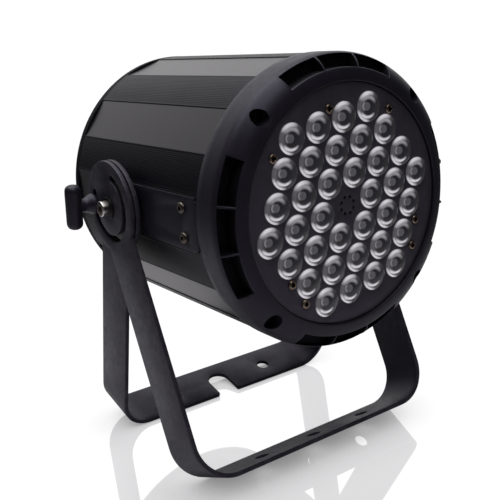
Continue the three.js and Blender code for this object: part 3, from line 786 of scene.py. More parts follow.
def bezel_mesh():
    # (radius, y) rows up the inner wall to the lip, over the front, then down the outer wall.
    # A y of None follows the shoulder and its pockets.
    rows = [(92.2, 4.2), (92.2, 1.2), (92.5, 0.9), (LIP_R - 0.3, 0.9), (LIP_R, 0.6),
            (LIP_R, -2.6)]
    for k in range(5):
        a = math.pi / 2 * k / 4
        rows.append((LIP_R + LIP_ROUND * (1 - math.cos(a)),
                     BEZEL_FRONT + LIP_ROUND - LIP_ROUND * math.sin(a)))
    radii = [99.0, 100.0, 101.5, 103.0, 104.5, 106.0]
    radii += [POCKET_IN - s * ROUND for s in reversed(ROUND_STEPS)]
    radii += [POCKET_IN + 0.03, POCKET_IN + 0.5, 110, 112, 114, 116, 117.6, POCKET_OUT - 0.03]
    radii += [POCKET_OUT + s * ROUND for s in ROUND_STEPS]
    radii += [119.4, 119.65, 119.85, 119.96, BEZEL_R]
    rows += [(r, None) for r in radii]
    rows += [(BEZEL_R, 18.0), (BEZEL_R, 26.0), (BEZEL_R, BEZEL_BACK - 0.8),
             (BEZEL_R - 0.25, BEZEL_BACK - 0.25), (BEZEL_R - 0.8, BEZEL_BACK),
             (113.5, BEZEL_BACK), (112.9, BEZEL_BACK - 0.5), (112.5, 19.5), (112.0, 19),
             (104, 19), (103.5, 18.5), (103.5, 4.8), (102.9, 4.2)]
    angles = bezel_angles()
    return rings([[(r * math.cos(t * DEG), bezel_y(r, t) if y is None else y,
                    r * math.sin(t * DEG)) for t in angles] for r, y in rows], loop=True)


def in_pocket(p):
    r, t = math.hypot(p.x, p.z), math.degrees(math.atan2(p.z, p.x))
    return (POCKET_IN - 0.05 < r < POCKET_OUT + 0.05
            and shoulder(r) + 1.2 < p.y < POCKET_FLOOR + 0.3
            and any(a - 0.1 < u < b + 0.1 for a, b in POCKETS for u in (t, t + 360)))


bezel = loose("front_bezel_shell", bezel_mesh(), MAT["bezel"])
SCREW_WELL = [(0, -14), (6.5, -14), (6.5, 13.4), (5.9, 14.0), (2.3, 14.0), (2.3, 25), (0, 25)]
wells = join(*[lathe(SCREW_WELL, 40, (111.0 * c, 0, 111.0 * s)) for c, s in DIAGONALS])
boolean(bezel, loose("cut", wells, MAT["bezel"]))
finish_mesh(bezel, MAT["bezel"], 32)
# Painted shade: the faces inside the pockets get the near-black copy of the finish.
paint(bezel, MAT["pocket"], in_pocket)
register(bezel, "front_bezel")


# ---------------------------------------------------------------- front screws
def hex_screw(centre, axis, sign, *, radius, height, hex_r, depth, shank_r, shank_length,
              cap=False, steps=36, turn=0.0):
    """A hex socket screw. The head stands from 0 to height along the axis, the shank runs
    back from 0. The head is a straight cap or a domed button."""
    if cap:
        head = [(radius - 0.3, 0.0), (radius, 0.3), (radius, height - 0.9),
                (radius - 0.28, height - 0.3), (radius - 0.9, height)]
    else:
        head = [(radius, 0.0), (radius, 0.18 * height), (radius * 0.97, 0.42 * height),
                (radius * 0.88, 0.72 * height), (radius * 0.74, 0.93 * height),
                (radius * 0.62, height)]
    profile = [(0, -shank_length), (shank_r - 0.3, -shank_length),
               (shank_r, -shank_length + 0.3), (shank_r, 0)] + head
    k = len(profile)
    profile += [(hex_r * 1.12, height), (hex_r, height - 0.12),
                (hex_r * 0.99, height - depth), (0, height - depth - 0.35 * hex_r)]
    return lathe(profile, steps, centre, axis, sign, reshape=hexagon_at(k + 1, k + 2),
                 turn=turn)


BEZEL_SCREW_R, BEZEL_SCREW_Y = 110.6, 13.6
for k, (c, s) in enumerate(DIAGONALS, 1):
    node = f"bezel_screw_{k}"
    # Negative lengths: this head stands toward -y and its shank runs toward +y.
    screw = hex_screw((BEZEL_SCREW_R * c, BEZEL_SCREW_Y, BEZEL_SCREW_R * s), "y", 1,
                      radius=4.2, height=-3.3, hex_r=1.7, depth=-2.0, shank_r=2,
                      shank_length=-(span(node, "y")[1] - BEZEL_SCREW_Y), cap=True)
    part(node + "_cap", screw, MAT["black_oxide"], node)

FACE_SCREW_Y = -2.5  # underside of the heads
FACE_SCREW = [(0, 3.4), (1.0, 3.4), (1.3, 3.1)] + [(r, FACE_SCREW_Y + h) for r, h in (
    (1.3, 0), (3.75, 0), (3.75, -0.7), (3.55, -1.25), (3.05, -1.6), (2.5, -1.7), (2.05, -1.7),
    (1.85, -1.55), (1.82, -0.3), (0, 0.3))]
face_screws = [middle(f"face_screw_{k}") for k in range(1, 8)]
for k, (x, z) in enumerate(face_screws):
    node = f"face_screw_{k + 1}"
    head = part(node + "_head", lathe(FACE_SCREW, 36, (x, 0, z), reshape=hexagon_at(10, 11),
                                      turn=0.3 * k), MAT["copper"], node)
    # The hex socket gets the near-black pocket material: painted shade in the recess.
    paint(head, MAT["pocket"], lambda p: math.hypot(p.x - x, p.z - z) < 1.9
          and p.y > FACE_SCREW_Y - 1.6)

# ---------------------------------------------------------------- face plate and lenses
LENS_PITCH, LENS_TURN = 26.5, 11.0  # a hexagonal grid with its middle place empty
LENS_HOLE_R, LENS_RIM, LENS_CREST = 12.3, 12.14, -5.3
SMALL_RING_R = 7  # ring of eight small holes in the middle


def lens_grid():
    cos, sin = math.cos(LENS_TURN * DEG), math.sin(LENS_TURN * DEG)
    places = []
    for q in range(-3, 4):
        for r in range(-3, 4):
            if abs(q + r) > 3 or (q == 0 and r == 0):
                continue
            x, z = LENS_PITCH * (q + r / 2), LENS_PITCH * r * math.sqrt(3) / 2
            places.append((x * cos - z * sin, x * sin + z * cos))
    return places


lenses = lens_grid()
small_angles = [(k * 45 + 10 + LENS_TURN) * DEG for k in range(8)]
face_holes = [circle(LENS_HOLE_R, 40, x, z) for x, z in lenses]
face_holes += [circle(1.55, 16, SMALL_RING_R * math.cos(a), SMALL_RING_R * math.sin(a))
               for a in small_angles]
face_holes += [circle(1.45, 12, x, z) for x, z in face_screws]
face_plate = plate(circle(96.7, 120), face_holes, -0.6, 2.4, edge=0.12, hole_edge=0.35)
part("face_plate_panel", mapped(face_plate, lambda a, b, h: (a, -h, b)), MAT["plate"],
     "face_plate")

sphere_r = LENS_RIM / math.sin(LENS_TILT * DEG)
dome_angles = [LENS_TILT * DEG * k / 12 for k in range(12, -1, -1)]
dome = [(sphere_r * math.sin(a), LENS_CREST + sphere_r * (1 - math.cos(a)))
        for a in dome_angles]
LENS = [(0, 6.4), (2.6, 6.6), (3.9, 7.4), (3.9, 10.0), (11.4, 10.0), (12.1, 7.6),
        (LENS_RIM, dome[0][1] + 0.04)] + dome
LED = [(0, 10.3), (3.3, 10.3), (3.35, 9.9), (3.1, 8.6), (2.3, 7.7), (1.2, 7.3), (0, 7.2)]
web = xz_plate(circle(92.8, 72), [circle(11.62, 40, x, z) for x, z in lenses]
               + [circle(4, 16)], 7.9, 9.4, edge=0.2)
part("lens_array_moulding", join(web, *[lathe(LENS, 44, (x, 0, z)) for x, z in lenses]),
     MAT["lens_face"], "lens_array", angle=40)
part("led_domes", join(*[lathe(LED, 28, (x, 0, z)) for x, z in lenses]), MAT["phosphor"],
     angle=60)

# ---------------------------------------------------------------- housing extrusion
# Ten flats, with bands of fine ribs between them. The flats at the pivots are wider.
FLAT_APOTHEM, RIB_R, RIB_DEPTH, HOUSING_BORE_R = 116.9, 119.15, 0.13, 113
FLAT_HALF, SIDE_FLAT_HALF, FLAT_PITCH = 9.1, 11.0, 36  # degrees
RIBS = 18


def flat_half(k):
    return SIDE_FLAT_HALF if k % 5 == 0 else FLAT_HALF


def housing_outline():
    """The (radius, angle) points around the housing, angles in degrees."""
    pts = []
    for k in range(10):
        middle_angle, half = FLAT_PITCH * k, flat_half(k)
        pts += [(FLAT_APOTHEM / math.cos(half * t * DEG), middle_angle + half * t)
                for t in (-1, -0.5, 0, 0.5, 1)]
        start = middle_angle + half + 0.12
        end = middle_angle + FLAT_PITCH - flat_half(k + 1) - 0.12
        first, last = start + 0.9, end - 0.9
        pts += [(RIB_R - 0.25, start), (RIB_R, start + 0.16), (RIB_R, first - 0.18)]
        step = (last - first) / RIBS
        for j in range(RIBS):
            a = first + j * step
            pts += [(RIB_R - RIB_DEPTH, a), (RIB_R - RIB_DEPTH, a + 0.34 * step),
                    (RIB_R - 0.06, a + 0.52 * step), (RIB_R - 0.06, a + 0.82 * step)]
        pts += [(RIB_R - RIB_DEPTH, last), (RIB_R, last + 0.18), (RIB_R, end - 0.16),
                (RIB_R - 0.25, end)]
    return pts


def in_rib_band(p):
    angle = math.degrees(math.atan2(p.z, p.x))
    within = angle % FLAT_PITCH
    half = flat_half(round(angle / FLAT_PITCH))
    return (math.hypot(p.x, p.z) > 117.5
            and min(within, FLAT_PITCH - within) > half + 0.05)


outline = housing_outline()
outer_loop = [(r * math.cos(a * DEG), r * math.sin(a * DEG)) for r, a in outline]
inner_loop = [(HOUSING_BORE_R * math.cos(a * DEG), HOUSING_BORE_R * math.sin(a * DEG))
              for _, a in outline]
front, back = span("housing_extrusion", "y")
housing_rows = ((inner_loop, front), (outer_loop, front), (outer_loop, front + 70),
                (outer_loop, front + 144), (outer_loop, back), (inner_loop, back))
housing = part("housing_extrusion_body",
               rings([[(x, y, z) for x, z in loop] for loop, y in housing_rows], loop=True),
               MAT["flat"], "housing_extrusion", angle=20)
# The rib bands get the darker copy of the finish: painted shade among the fine ribs.
paint(housing, MAT["rib_band_shade"], in_rib_band)

# ---------------------------------------------------------------- rear cover
SOCKETS = {n: middle(n)
           for n in ("dmx_in_socket", "dmx_out_socket", "power_inlet", "power_outlet")}
FUSE, DISPLAY, FAN = middle("fuse_cap"), middle("display_window"), middle("fan_guard")
BUTTONS = [middle(f"menu_button_{k}") for k in range(1, 5)]
REAR_SCREW_R = 106

cover_holes = [keyhole(*p, 12.3, 3.2, 15.2) if n == "dmx_out_socket" else circle(12.3, 48, *p)
               for n, p in SOCKETS.items()]
cover_holes += [circle(6.3, 32, *FUSE), rounded_rect(*DISPLAY, 49.8, 16.8, 1.2)]
cover_holes += [circle(4.45, 28, *p) for p in BUTTONS] + [circle(36, 72, *FAN)]
cover_holes += [circle(2.4, 12, REAR_SCREW_R * c, REAR_SCREW_R * s) for c, s in DIAGONALS]
# (outset, y) rows from the back face round the edge to the inside
COVER_RIM = [(out, COVER_BACK - drop) for out, drop in (
    (1.6, 0.15), (3.6, 0.75), (5.2, 1.6), (6.8, 2.9), (8.3, 3.9), (9.0, 4.6), (9.15, 5.6))]
COVER_RIM += [(9.15, COVER_FRONT + 0.4), (8.8, COVER_FRONT), (4.6, COVER_FRONT),
              (2.2, COVER_BACK - 4.2)]
part("rear_cover_shell",
     xz_plate(circle(110, 144), cover_holes, COVER_BACK - 4, COVER_BACK, edge=0.5,
              rim=COVER_RIM), MAT["cover"], "rear_cover", angle=30)
for k, (c, s) in enumerate(DIAGONALS, 1):
    node = f"rear_screw_{k}"
    screw = hex_screw((REAR_SCREW_R * c, COVER_BACK + 0.1, REAR_SCREW_R * s), "y", 1,
                      radius=3.9, height=2.2, hex_r=1.6, depth=1.4, shank_r=2,
                      shank_length=COVER_BACK - span(node, "y")[0])
    part(node + "_cap", screw, MAT["dark_steel"], node)


# ---------------------------------------------------------------- sockets
def around(x, z, radius):
    """Three places round a socket's middle."""
    return [(x + radius * math.cos(a * DEG), z + radius * math.sin(a * DEG))
            for a in (90, 210, 330)]


def socket_body(name, x, z):
    """A flange with two screw eyes, and a barrel that is open to the back."""
    B = COVER_BACK
    keyed = name == "dmx_out_socket"
    bore = 9.6 if name == "dmx_in_socket" else 9.9
    mouth = keyhole(x, z, 11.0, 3.1, 14.95) if keyed else circle(11.0, 48, x, z)
    eyes = [circle(1.6, 16, x - 9.7, z + 12.2), circle(1.6, 16, x + 9.7, z - 12.2)]
    flange = xz_plate(rounded_rect(x, z, 26, 31, 2.0, steps=4), [mouth] + eyes, B + 0.15,
                      B + 2.1, edge=0.2 if keyed else 0.35)
    barrel = lathe([(0, B - 22), (11.4, B - 22), (11.7, B - 21.6), (11.7, B + 2.4),
                    (11.45, B + 3.0), (bore + 0.35, B + 3.0), (bore, B + 2.6), (bore, B - 14),
                    (0, B - 14)], 48, (x, 0, z))
    return join(flange, barrel)


PIN = [(0, COVER_BACK - 15), (1.2, COVER_BACK - 15), (1.2, COVER_BACK - 3.6),
       (0.7, COVER_BACK - 2.9), (0, COVER_BACK - 2.7)]
for name, (x, z) in SOCKETS.items():
    part(name + "_body", socket_body(name, x, z), MAT["plastic"], name)
    if name == "dmx_in_socket":
        pins = join(*[lathe(PIN, 16, (px, 0, pz)) for px, pz in around(x, z, 4)])
        part(name + "_pins", pins, MAT["steel"])
        continue
    if name == "dmx_out_socket":
        core = xz_plate(circle(7.6, 40, x, z),
                        [circle(1.35, 16, *p) for p in around(x, z, 3.8)],
                        COVER_BACK - 14, COVER_BACK + 1.6)
    else:
        core = xz_plate(circle(5.6, 36, x, z),
                        [rounded_rect(*p, 1.0, 2.6, 0.2) for p in around(x, z, 2.6)],
                        COVER_BACK - 14, COVER_BACK + 1.2)
    part(name + "_core", core, MAT["plastic"])
part("dmx_release_tab_key", slab(*can_box("dmx_release_tab"), 0.6, 0.3), MAT["steel"],
     "dmx_release_tab", body="dmx_release_tab")


# ---------------------------------------------------------------- fuse cap, buttons, display
def knurl(row, radius, step, angle):
    """A reshape for lathe that grooves the wide rows at every third step."""
    return radius - 0.35 if radius > 7 and step % 3 == 0 else radius


bottom, top = span("fuse_cap", "y")
fuse_cap = loose("fuse_cap_knob", lathe(
    [(0, bottom), (5.5, bottom), (5.8, bottom + 0.3), (5.8, COVER_BACK + 0.35),
     (8.0, COVER_BACK + 0.35), (8.0, top - 1.0), (7.2, top - 0.2), (6.6, top)],
    60, (FUSE[0], 0, FUSE[1]), reshape=knurl), MAT["plastic"])
slit = corners(FUSE[0] - 5.2, FUSE[0] + 5.2, FUSE[1] - 0.7, FUSE[1] + 0.7)
boolean(fuse_cap, loose("cut", xz_plate(slit, [], top - 1.4, top + 3, edge=0.05),
                        MAT["plastic"]))
finish_mesh(fuse_cap, MAT["plastic"], 30)
register(fuse_cap, "fuse_cap", body="fuse_cap")

FLANGE_FRONT, FLANGE_BACK = 253.5, 255  # y of the flange on each button
for k, (x, z) in enumerate(BUTTONS, 1):
    node = f"menu_button_{k}"
    bottom, top = span(node, "y")
    profile = [(0, bottom), (1.8, bottom), (1.8, FLANGE_FRONT), (5.4, FLANGE_FRONT),
               (5.4, FLANGE_BACK), (4.1, FLANGE_BACK), (4.1, top - 0.8), (3.9, top - 0.3),
               (3.4, top - 0.05), (2.4, top - 0.15), (0, top - 0.35)]
    part(node + "_cap", lathe(profile, 36, (x, 0, z)), MAT["plastic"], node,
         body=node)
part("display_window_pane", slab(*can_box("display_window"), 1.0, 0.25), MAT["window"],
     "display_window")

# ---------------------------------------------------------------- fan guard and rotor
GUARD_RINGS, GUARD_WIRE_R, GUARD_EYE_R = (6.5, 14, 21.5, 29, 35.6), 0.9, 50.4
# (distance from the fan centre, height over the cover) along each spoke
GUARD_SPOKE = [(5.6, 2.0), (36, 2.0), (40, 1.7), (47.5, 1.2)]


def guard_mesh():
    meshes = []
    for ring_r in GUARD_RINGS:
        section = [(ring_r + a, b) for a, b in circle(GUARD_WIRE_R, 10)]
        meshes.append(lathe(section, 64, (FAN[0], COVER_BACK + 3.5, FAN[1]), loop=True))
    for c, s in DIAGONALS:
        meshes.append(tube([(FAN[0] + r * c, COVER_BACK + h, FAN[1] + r * s)
                            for r, h in GUARD_SPOKE], 0.95))
        x, z = FAN[0] + GUARD_EYE_R * c, FAN[1] + GUARD_EYE_R * s
        meshes.append(xz_plate(circle(4.4, 28, x, z), [circle(2.1, 16, x, z)],
                               COVER_BACK + 0.15, COVER_BACK + 1.2, edge=0.2))
    return join(*meshes)


part("fan_guard_wire", guard_mesh(), MAT["steel"], "fan_guard", angle=50)

# blade section: (share of the half chord, thickness) points
BLADE = ((-1, 0), (-0.5, 0.55), (0.1, 0.85), (0.7, 0.55), (1, 0), (0.5, -0.15), (-0.1, -0.25),
         (-0.6, -0.15))
BLADES, BLADE_ROOT_R, BLADE_LENGTH, BLADE_Y = 7, 15.2, 20.0, 242.5


def blade_mesh(start_angle):
    """A blade in seven sections whose chord widens and whose twist eases outward."""
    sections = []
    for i in range(7):
        share = i / 6
        r = BLADE_ROOT_R + share * BLADE_LENGTH
        twist = (44 - 20 * share) * DEG
        half_chord = 9.0 + 3.6 * share
        section = []
        for u, w in BLADE:
            chord, rise = u * half_chord, w * 0.9 + 1.6 * (1 - u * u)
            y = BLADE_Y + chord * math.sin(twist) + rise * math.cos(twist)
            t = start_angle + (chord * math.cos(twist) - rise * math.sin(twist)) / r
            section.append((FAN[0] + r * math.cos(t), y, FAN[1] + r * math.sin(t)))
        sections.append(section)
    return rings(sections)


front = span("fan_rotor", "y")[0]
hub = lathe([(0, 247.0), (1.8, 247.0), (1.8, front + 0.5), (15.2, front + 0.5),
             (15.9, front + 1.2), (15.9, 249.9), (15.2, 251.0), (13.6, 251.8), (0, 251.9)],
            48, (FAN[0], 0, FAN[1]))
part("fan_rotor_blades", join(hub, *[blade_mesh(k * 360 / BLADES * DEG)
                                     for k in range(BLADES)]),
     MAT["plastic"], "fan_rotor", body="fan_rotor", angle=45)

# ---------------------------------------------------------------- safety eye
# A bent wire loop on a flat foot.
EYE_HALF = 9
eye_x, eye_z = middle("safety_eye")
wire = [(eye_x - EYE_HALF, COVER_BACK + h, eye_z) for h in (1.4, 5)]
wire += [(eye_x - EYE_HALF * math.cos(a), COVER_BACK + 8.5 + 9.2 * math.sin(a), eye_z)
         for a in [math.pi * k / 24 for k in range(25)]]
wire += [(eye_x + EYE_HALF, COVER_BACK + h, eye_z) for h in (5, 1.4)]
foot = slab((eye_x - 14, COVER_BACK + 0.2, eye_z - 5),
            (eye_x + 14, COVER_BACK + 2.2, eye_z + 5), 2.0, 0.35)
part("safety_eye_loop", join(tube(wire, 2.0, 16), foot), MAT["steel"],
     "safety_eye", angle=45)

# ---------------------------------------------------------------- side plates and pivots
STUD_R = 28.1  # distance of the clamp studs, and of the yoke slots, from the pivot
STUD_Y = PIVOT_Y + STUD_R
PLATE_HALF, PLATE_STEP = 21.7, 2.4  # half height, and the notch at both front corners
PLATE_SCREW_Y, PLATE_SCREW_Z = 54.5, 12


def side_plate(side, side_name):
    node = "side_plate_" + side_name
    y0, y1 = span(node, "y")
    outer_x = x_reach(node)[1]
    low, notch = -PLATE_HALF, PLATE_STEP
    half = [(y0, low + notch), (y0 + 2.2, low + notch), (y0 + 2.2, low), (y1 - 3, low),
            (y1, low + 3)]
    outline = fillet(half + [(y, -z) for y, z in reversed(half)], 0.5, 2, closed=True)
    holes = [circle(4.4, 28, PIVOT_Y, 0), circle(3.3, 24, STUD_Y, 0),
             circle(2.9, 20, PLATE_SCREW_Y, PLATE_SCREW_Z),
             circle(2.9, 20, PLATE_SCREW_Y, -PLATE_SCREW_Z)]
    panel = plate(outline, holes, outer_x - 1.6, outer_x, edge=0.3)
    part(node + "_panel", mapped(panel, lambda a, b, h: (side * h, a, b)), MAT["side"],
         node)
    for k, z in ((1, PLATE_SCREW_Z), (2, -PLATE_SCREW_Z)):
        screw_node = f"side_plate_screw_{side_name}_{k}"
        screw = hex_screw((side * (outer_x + 0.02), PLATE_SCREW_Y, z), "x", side, radius=4.7,
                          height=2.4, hex_r=1.75, depth=1.5, shank_r=2.4, shank_length=10.5,
                          turn=0.4 * k)
        part(screw_node + "_head", screw, MAT["plate_screw"], screw_node)


def washer(side, node, mat, bevel):
    near, far = x_reach(node)
    lo, hi = span(node, "z")
    r, bore = (hi - lo) / 2, 4.4
    profile = [(bore, near + bevel), (bore + bevel, near), (r - bevel, near),
               (r, near + bevel), (r, far - bevel), (r - bevel, far), (bore + bevel, far),
               (bore, far - bevel)]
    part(node + "_ring", lathe(profile, 48, (0, PIVOT_Y, 0), "x", side, loop=True), mat,
         node)


def pivot_bolt(side, side_name):
    """A cap bolt with painted shade on its side, and a socket painted darker and brown: partly
    its own tint, partly painted shade.
    """
    node = "pivot_bolt_" + side_name
    top = x_reach(node)[1]
    seat = x_reach("pivot_washer_" + side_name)[1] + 0.1
    screw = hex_screw((side * seat, PIVOT_Y, 0), "x", side, radius=6.9, height=top - seat,
                      hex_r=3.3, depth=4.2, shank_r=3.95, shank_length=seat - 104, cap=True,
                      steps=48)
    bolt = part(node + "_cap", screw, MAT["steel"], node)

    def below_top(p):
        return abs(p.x) < top - 0.9

    def in_recess(p):
        r = math.hypot(p.y - PIVOT_Y, p.z)
        if below_top(p):
            return abs(p.x) > seat + 2 and r < 4.2
        return r < 3.5

    # Painted shade: the side below the top gets the darker steel, the socket the darker brown.
    paint(bolt, MAT["bolt_side_shade"], below_top)
    paint(bolt, MAT["bolt_socket_tint_and_shade"], in_recess)


def clamp_stud(side, side_name):
    """A stud whose thread is a row of turned grooves, 1 mm apart."""
    node = "clamp_stud_" + side_name
    near, far = x_reach(node)
    profile = [(0, near), (2.2, near)]
    h = near + 0.5
    while h < far - 0.8:
        profile += [(2.9, h), (2.9, h + 0.25), (2.45, h + 0.6), (2.45, h + 0.75)]
        h += 1.0
    profile += [(2.9, far - 0.3), (2.6, far), (0, far)]
    part(node + "_thread", lathe(profile, 28, (0, STUD_Y, 0), "x", side), MAT["steel"],
         node, body=node, angle=40)


def clamp_handle(side, side_name):
    """A T-handle: a leaning bar with softened ends on a waisted neck with a collar."""
    node = "clamp_handle_" + side_name
    near, far = x_reach(node)
    bar_x, bar_half, lean = far - 7.2, 20.5, 8 * DEG
    # (radius, distance from the bar's end)
    end = [(0, 0), (2.3, 0.1), (4.3, 0.65), (5.8, 1.65), (6.75, 3.15), (7.2, 4.9), (7.3, 7.0)]
    lower = [(r, -bar_half + h) for r, h in end]
    profile = lower + [(7.3, 0)] + [(r, -h) for r, h in reversed(lower)]

    def leaned(x, y, z):
        return (x, STUD_Y + (y - STUD_Y) * math.cos(lean) - z * math.sin(lean),
                (y - STUD_Y) * math.sin(lean) + z * math.cos(lean))

    bar = loose(node + "_grip",
                mapped(lathe(profile, 56, (side * bar_x, STUD_Y, 0), "z"), leaned),
                MAT["plastic"])
    neck = [(3.2, bar_x - 1), (6.4, bar_x - 1), (6.4, bar_x - 6.2), (6.1, bar_x - 8.0),
            (6.05, bar_x - 9.8), (6.5, bar_x - 11.6), (7.6, bar_x - 13.8), (8.8, near + 4.0),
            (9.3, near + 2.2), (9.4, near + 0.7), (9.0, near), (3.3, near), (3.3, bar_x - 8)]
    boolean(bar, loose("neck", lathe(neck, 48, (0, STUD_Y, 0), "x", side, loop=True),
                       MAT["plastic"]), "UNION")
    bore = [(0, near - 3), (3.2, near - 3), (3.2, bar_x - 5.6), (0, bar_x - 5.6)]
    boolean(bar, loose("bore", lathe(bore, 28, (0, STUD_Y, 0), "x", side), MAT["plastic"]))
    finish_mesh(bar, MAT["plastic"], 50)
    register(bar, node, body=node)


for side, side_name in ((-1, "left"), (1, "right")):
    side_plate(side, side_name)
    washer(side, "pivot_spacer_" + side_name, MAT["plastic"], bevel=0.25)
    washer(side, "friction_washer_" + side_name, MAT["plastic"], bevel=0.2)
    washer(side, "pivot_washer_" + side_name, MAT["black_oxide"], bevel=0.25)
    pivot_bolt(side, side_name)
    clamp_stud(side, side_name)
    clamp_handle(side, side_name)

# ---------------------------------------------------------------- yokes
# Each yoke is a flat strap bent into a U, with a slotted disc at both ends. It is drawn flat
# as (s, t), s along the strap from its middle and t across it, then folded about the pivot
# with its base toward -z.
SLOT_WIDTH, SLOT_HALF, DISC_R = 6.2, 135.6, 40.8  # SLOT_HALF in degrees
STRAP_HALF, STRAP_THICK = 23.55, 4.0
BASE_HOLE_R, BASE_HOLE_T = 6.5, -2.6


def yoke_disc(side, pivot_s):
    """The disc outline, from one edge of the strap round to the other."""
    steps = 64
    start = math.asin(STRAP_HALF / DISC_R)
    angles = [start + (2 * math.pi - 2 * start) * k / steps for k in range(steps + 1)]
    return [(side * (pivot_s - DISC_R * math.cos(a)), side * (-DISC_R * math.sin(a)))
            for a in angles]


def yoke_slot(side, pivot_s):
    """An arc slot with round ends, about the pivot."""
    steps = 60

    def at(r, angle):
        return (side * (pivot_s - r * math.cos(angle * DEG)), r * math.sin(angle * DEG))

    def round_end(last, angle, beyond):
        centre = Vector(at(STUD_R, angle))
        tangent = (Vector(at(STUD_R, beyond)) - centre).normalized()
        radial = (Vector(last) - centre).normalized()
        return [tuple(centre + SLOT_WIDTH / 2 * (math.cos(math.pi * k / 8) * radial
                                                 + math.sin(math.pi * k / 8) * tangent))
                for k in range(1, 8)]

    slot = [at(STUD_R + SLOT_WIDTH / 2, -SLOT_HALF + 2 * SLOT_HALF * k / steps)
            for k in range(steps + 1)]
    slot += round_end(slot[-1], SLOT_HALF, SLOT_HALF + 2)
    slot += [at(STUD_R - SLOT_WIDTH / 2, SLOT_HALF - 2 * SLOT_HALF * k / steps)
             for k in range(steps + 1)]
    return slot + round_end(slot[-1], -SLOT_HALF, -SLOT_HALF - 2)


def yoke_notch(s, t, r, base_half):
    """The -t edge of the base with a round-bottomed notch cut into it."""
    low, mouth = -STRAP_HALF, 1.6
    edge = [(-base_half * 0.5, low)]
    edge += fillet([(s - r - 6, low), (s - r, low), (s - r, t)], mouth, 4)[1:-1]
    edge += [(s + r * math.cos(a), t + r * math.sin(a))
             for a in [math.pi - math.pi * k / 24 for k in range(25)]]
    edge += fillet([(s + r, t), (s + r, low), (s + r + 6, low)], mouth, 4)[1:-1]
    return edge + [(base_half * 0.5, low)]


def yoke(name, node, turn, bend, hole_s, notch=None):
    """bend is the outer radius of both bends, hole_s the places of the base holes, and notch
    the (s, t, radius) of a notch in the base."""
    lo, hi = extent(node, turn)
    half_width, drop = hi[0], -lo[2]
    base_half = half_width - bend
    bend_end = base_half + bend * math.pi / 2
    pivot_s = bend_end + (drop - bend)

    loop = yoke_disc(1, pivot_s) + yoke_disc(-1, pivot_s)
    if notch:
        loop += yoke_notch(*notch, base_half)
    dense = densify(loop, 3.0)
    outline = [dense[0]]
    for p in dense[1:]:
        if (Vector(p) - Vector(outline[-1])).length > 0.02:
            outline.append(p)

    holes = []
    for side in (-1, 1):
        holes += [yoke_slot(side, pivot_s), circle(4.3, 32, side * pivot_s, 0)]
    holes += [circle(BASE_HOLE_R, 40, s, BASE_HOLE_T) for s in hole_s]
    # Extra points let the faces follow the bends.
    extra = []
    s = -bend_end - 6
    while s <= bend_end + 6:
        if abs(s) > base_half - 8:
            extra += [(s, t) for t in (-18, -12, -6, 0, 6, 12, 18)]
        s += 3.0

    def fold(s, t, h):
        side = 1 if s >= 0 else -1
        reach = abs(s)
        if reach <= base_half:
            return (side * reach, t, -drop - h)
        if reach <= bend_end:
            angle = (reach - base_half) / bend
            r = bend + h
            return (side * (base_half + r * math.sin(angle)), t,
                    -drop + bend - r * math.cos(angle))
        return (side * (half_width + h), t, -drop + bend + (reach - bend_end))

    strap = plate(outline, holes, -STRAP_THICK, 0, edge=0.55, extra=extra)
    part(name, mapped(strap, fold), MAT["yoke"], node, body=node,
         place=TO_PIVOT @ turn @ MM, angle=32)


yoke("outer_yoke_bar", "outer_yoke", yoke_turn("outer_yoke_base"), bend=36,
     hole_s=(-59.5, 0, 59.5))
yoke("inner_yoke_bar", "inner_yoke", yoke_turn("inner_yoke_base"), bend=30,
     hole_s=(-57, 57), notch=(-2, -3.4, 11.4))

# ---------------------------------------------------------------- CAD nodes that stay
for node, key in {"led_board": "pcb_white", "heat_sink": "alu", "chassis_plate": "alu",
                  "power_supply": "alu", "control_board": "pcb",
                  "fan_frame": "plastic"}.items():
    kept = NODES[node].data
    kept.materials.clear()
    kept.materials.append(MAT[key])

# ---------------------------------------------------------------- floor
FLOOR_Z = CAD_BOX[0][2] - 0.0003
FLOOR_HALF = 20.0


def floor_material():
    """A pale glossy board, bright as a studio sweep, with soft contact shade and a clear
    mirror image. Other rays than the camera's meet a diffuse board with a painted pool of light
    around the object."""
    mat, sh, bsdf, out = new_material("floor_pale")
    coord = sh.coords()
    tint = sh.mix(sh.noise(coord, scale=1.4, detail=3, rough=0.5), (0.985, 0.98, 0.995),
                  (1.0, 0.995, 1.01))
    occlusion = sh.node("AmbientOcclusion", {"Distance": 0.05}, samples=8)
    shade = sh.ramp(occlusion.outputs["AO"], [(0.0, 0.22), (0.55, 0.78), (0.98, 1)])
    shaded = sh.mix(1.0, tint, shade, blend="MULTIPLY")
    glow = sh.node("Emission", {"Strength": 0.735, "Color": shaded})
    blur = sh.add(sh.mul(sh.noise(coord, scale=30, detail=2, rough=0.5), 0.02), 0.02)
    mirror = sh.node("BsdfGlossy", {"Color": (0.31, 0.31, 0.31), "Roughness": blur})
    seen = sh.node("AddShader", {0: glow.outputs[0], 1: mirror.outputs[0]})
    # The diffuse board's colour darkens with distance from the origin, in metres: a painted pool
    # of light around the object.
    near = sh.ramp(sh.vector("LENGTH", coord), [
        (0.30, (0.78, 0.77, 0.79)), (0.55, (0.52, 0.51, 0.53)), (0.90, (0.10, 0.099, 0.102))])
    cloud = sh.mul(sh.noise(coord, scale=1.4, detail=3, rough=0.5), 0.06)
    sh.put(bsdf.inputs["Base Color"], sh.mix(cloud, near, (0.5, 0.5, 0.5)))
    sh.put(bsdf.inputs["Roughness"], 0.6)
    is_camera = sh.node("LightPath").outputs["Is Camera Ray"]
    choice = sh.node("MixShader", {0: is_camera, 1: bsdf.outputs[0], 2: seen.outputs[0]})
    sh.put(out.inputs[0], choice.outputs[0])
    return mat


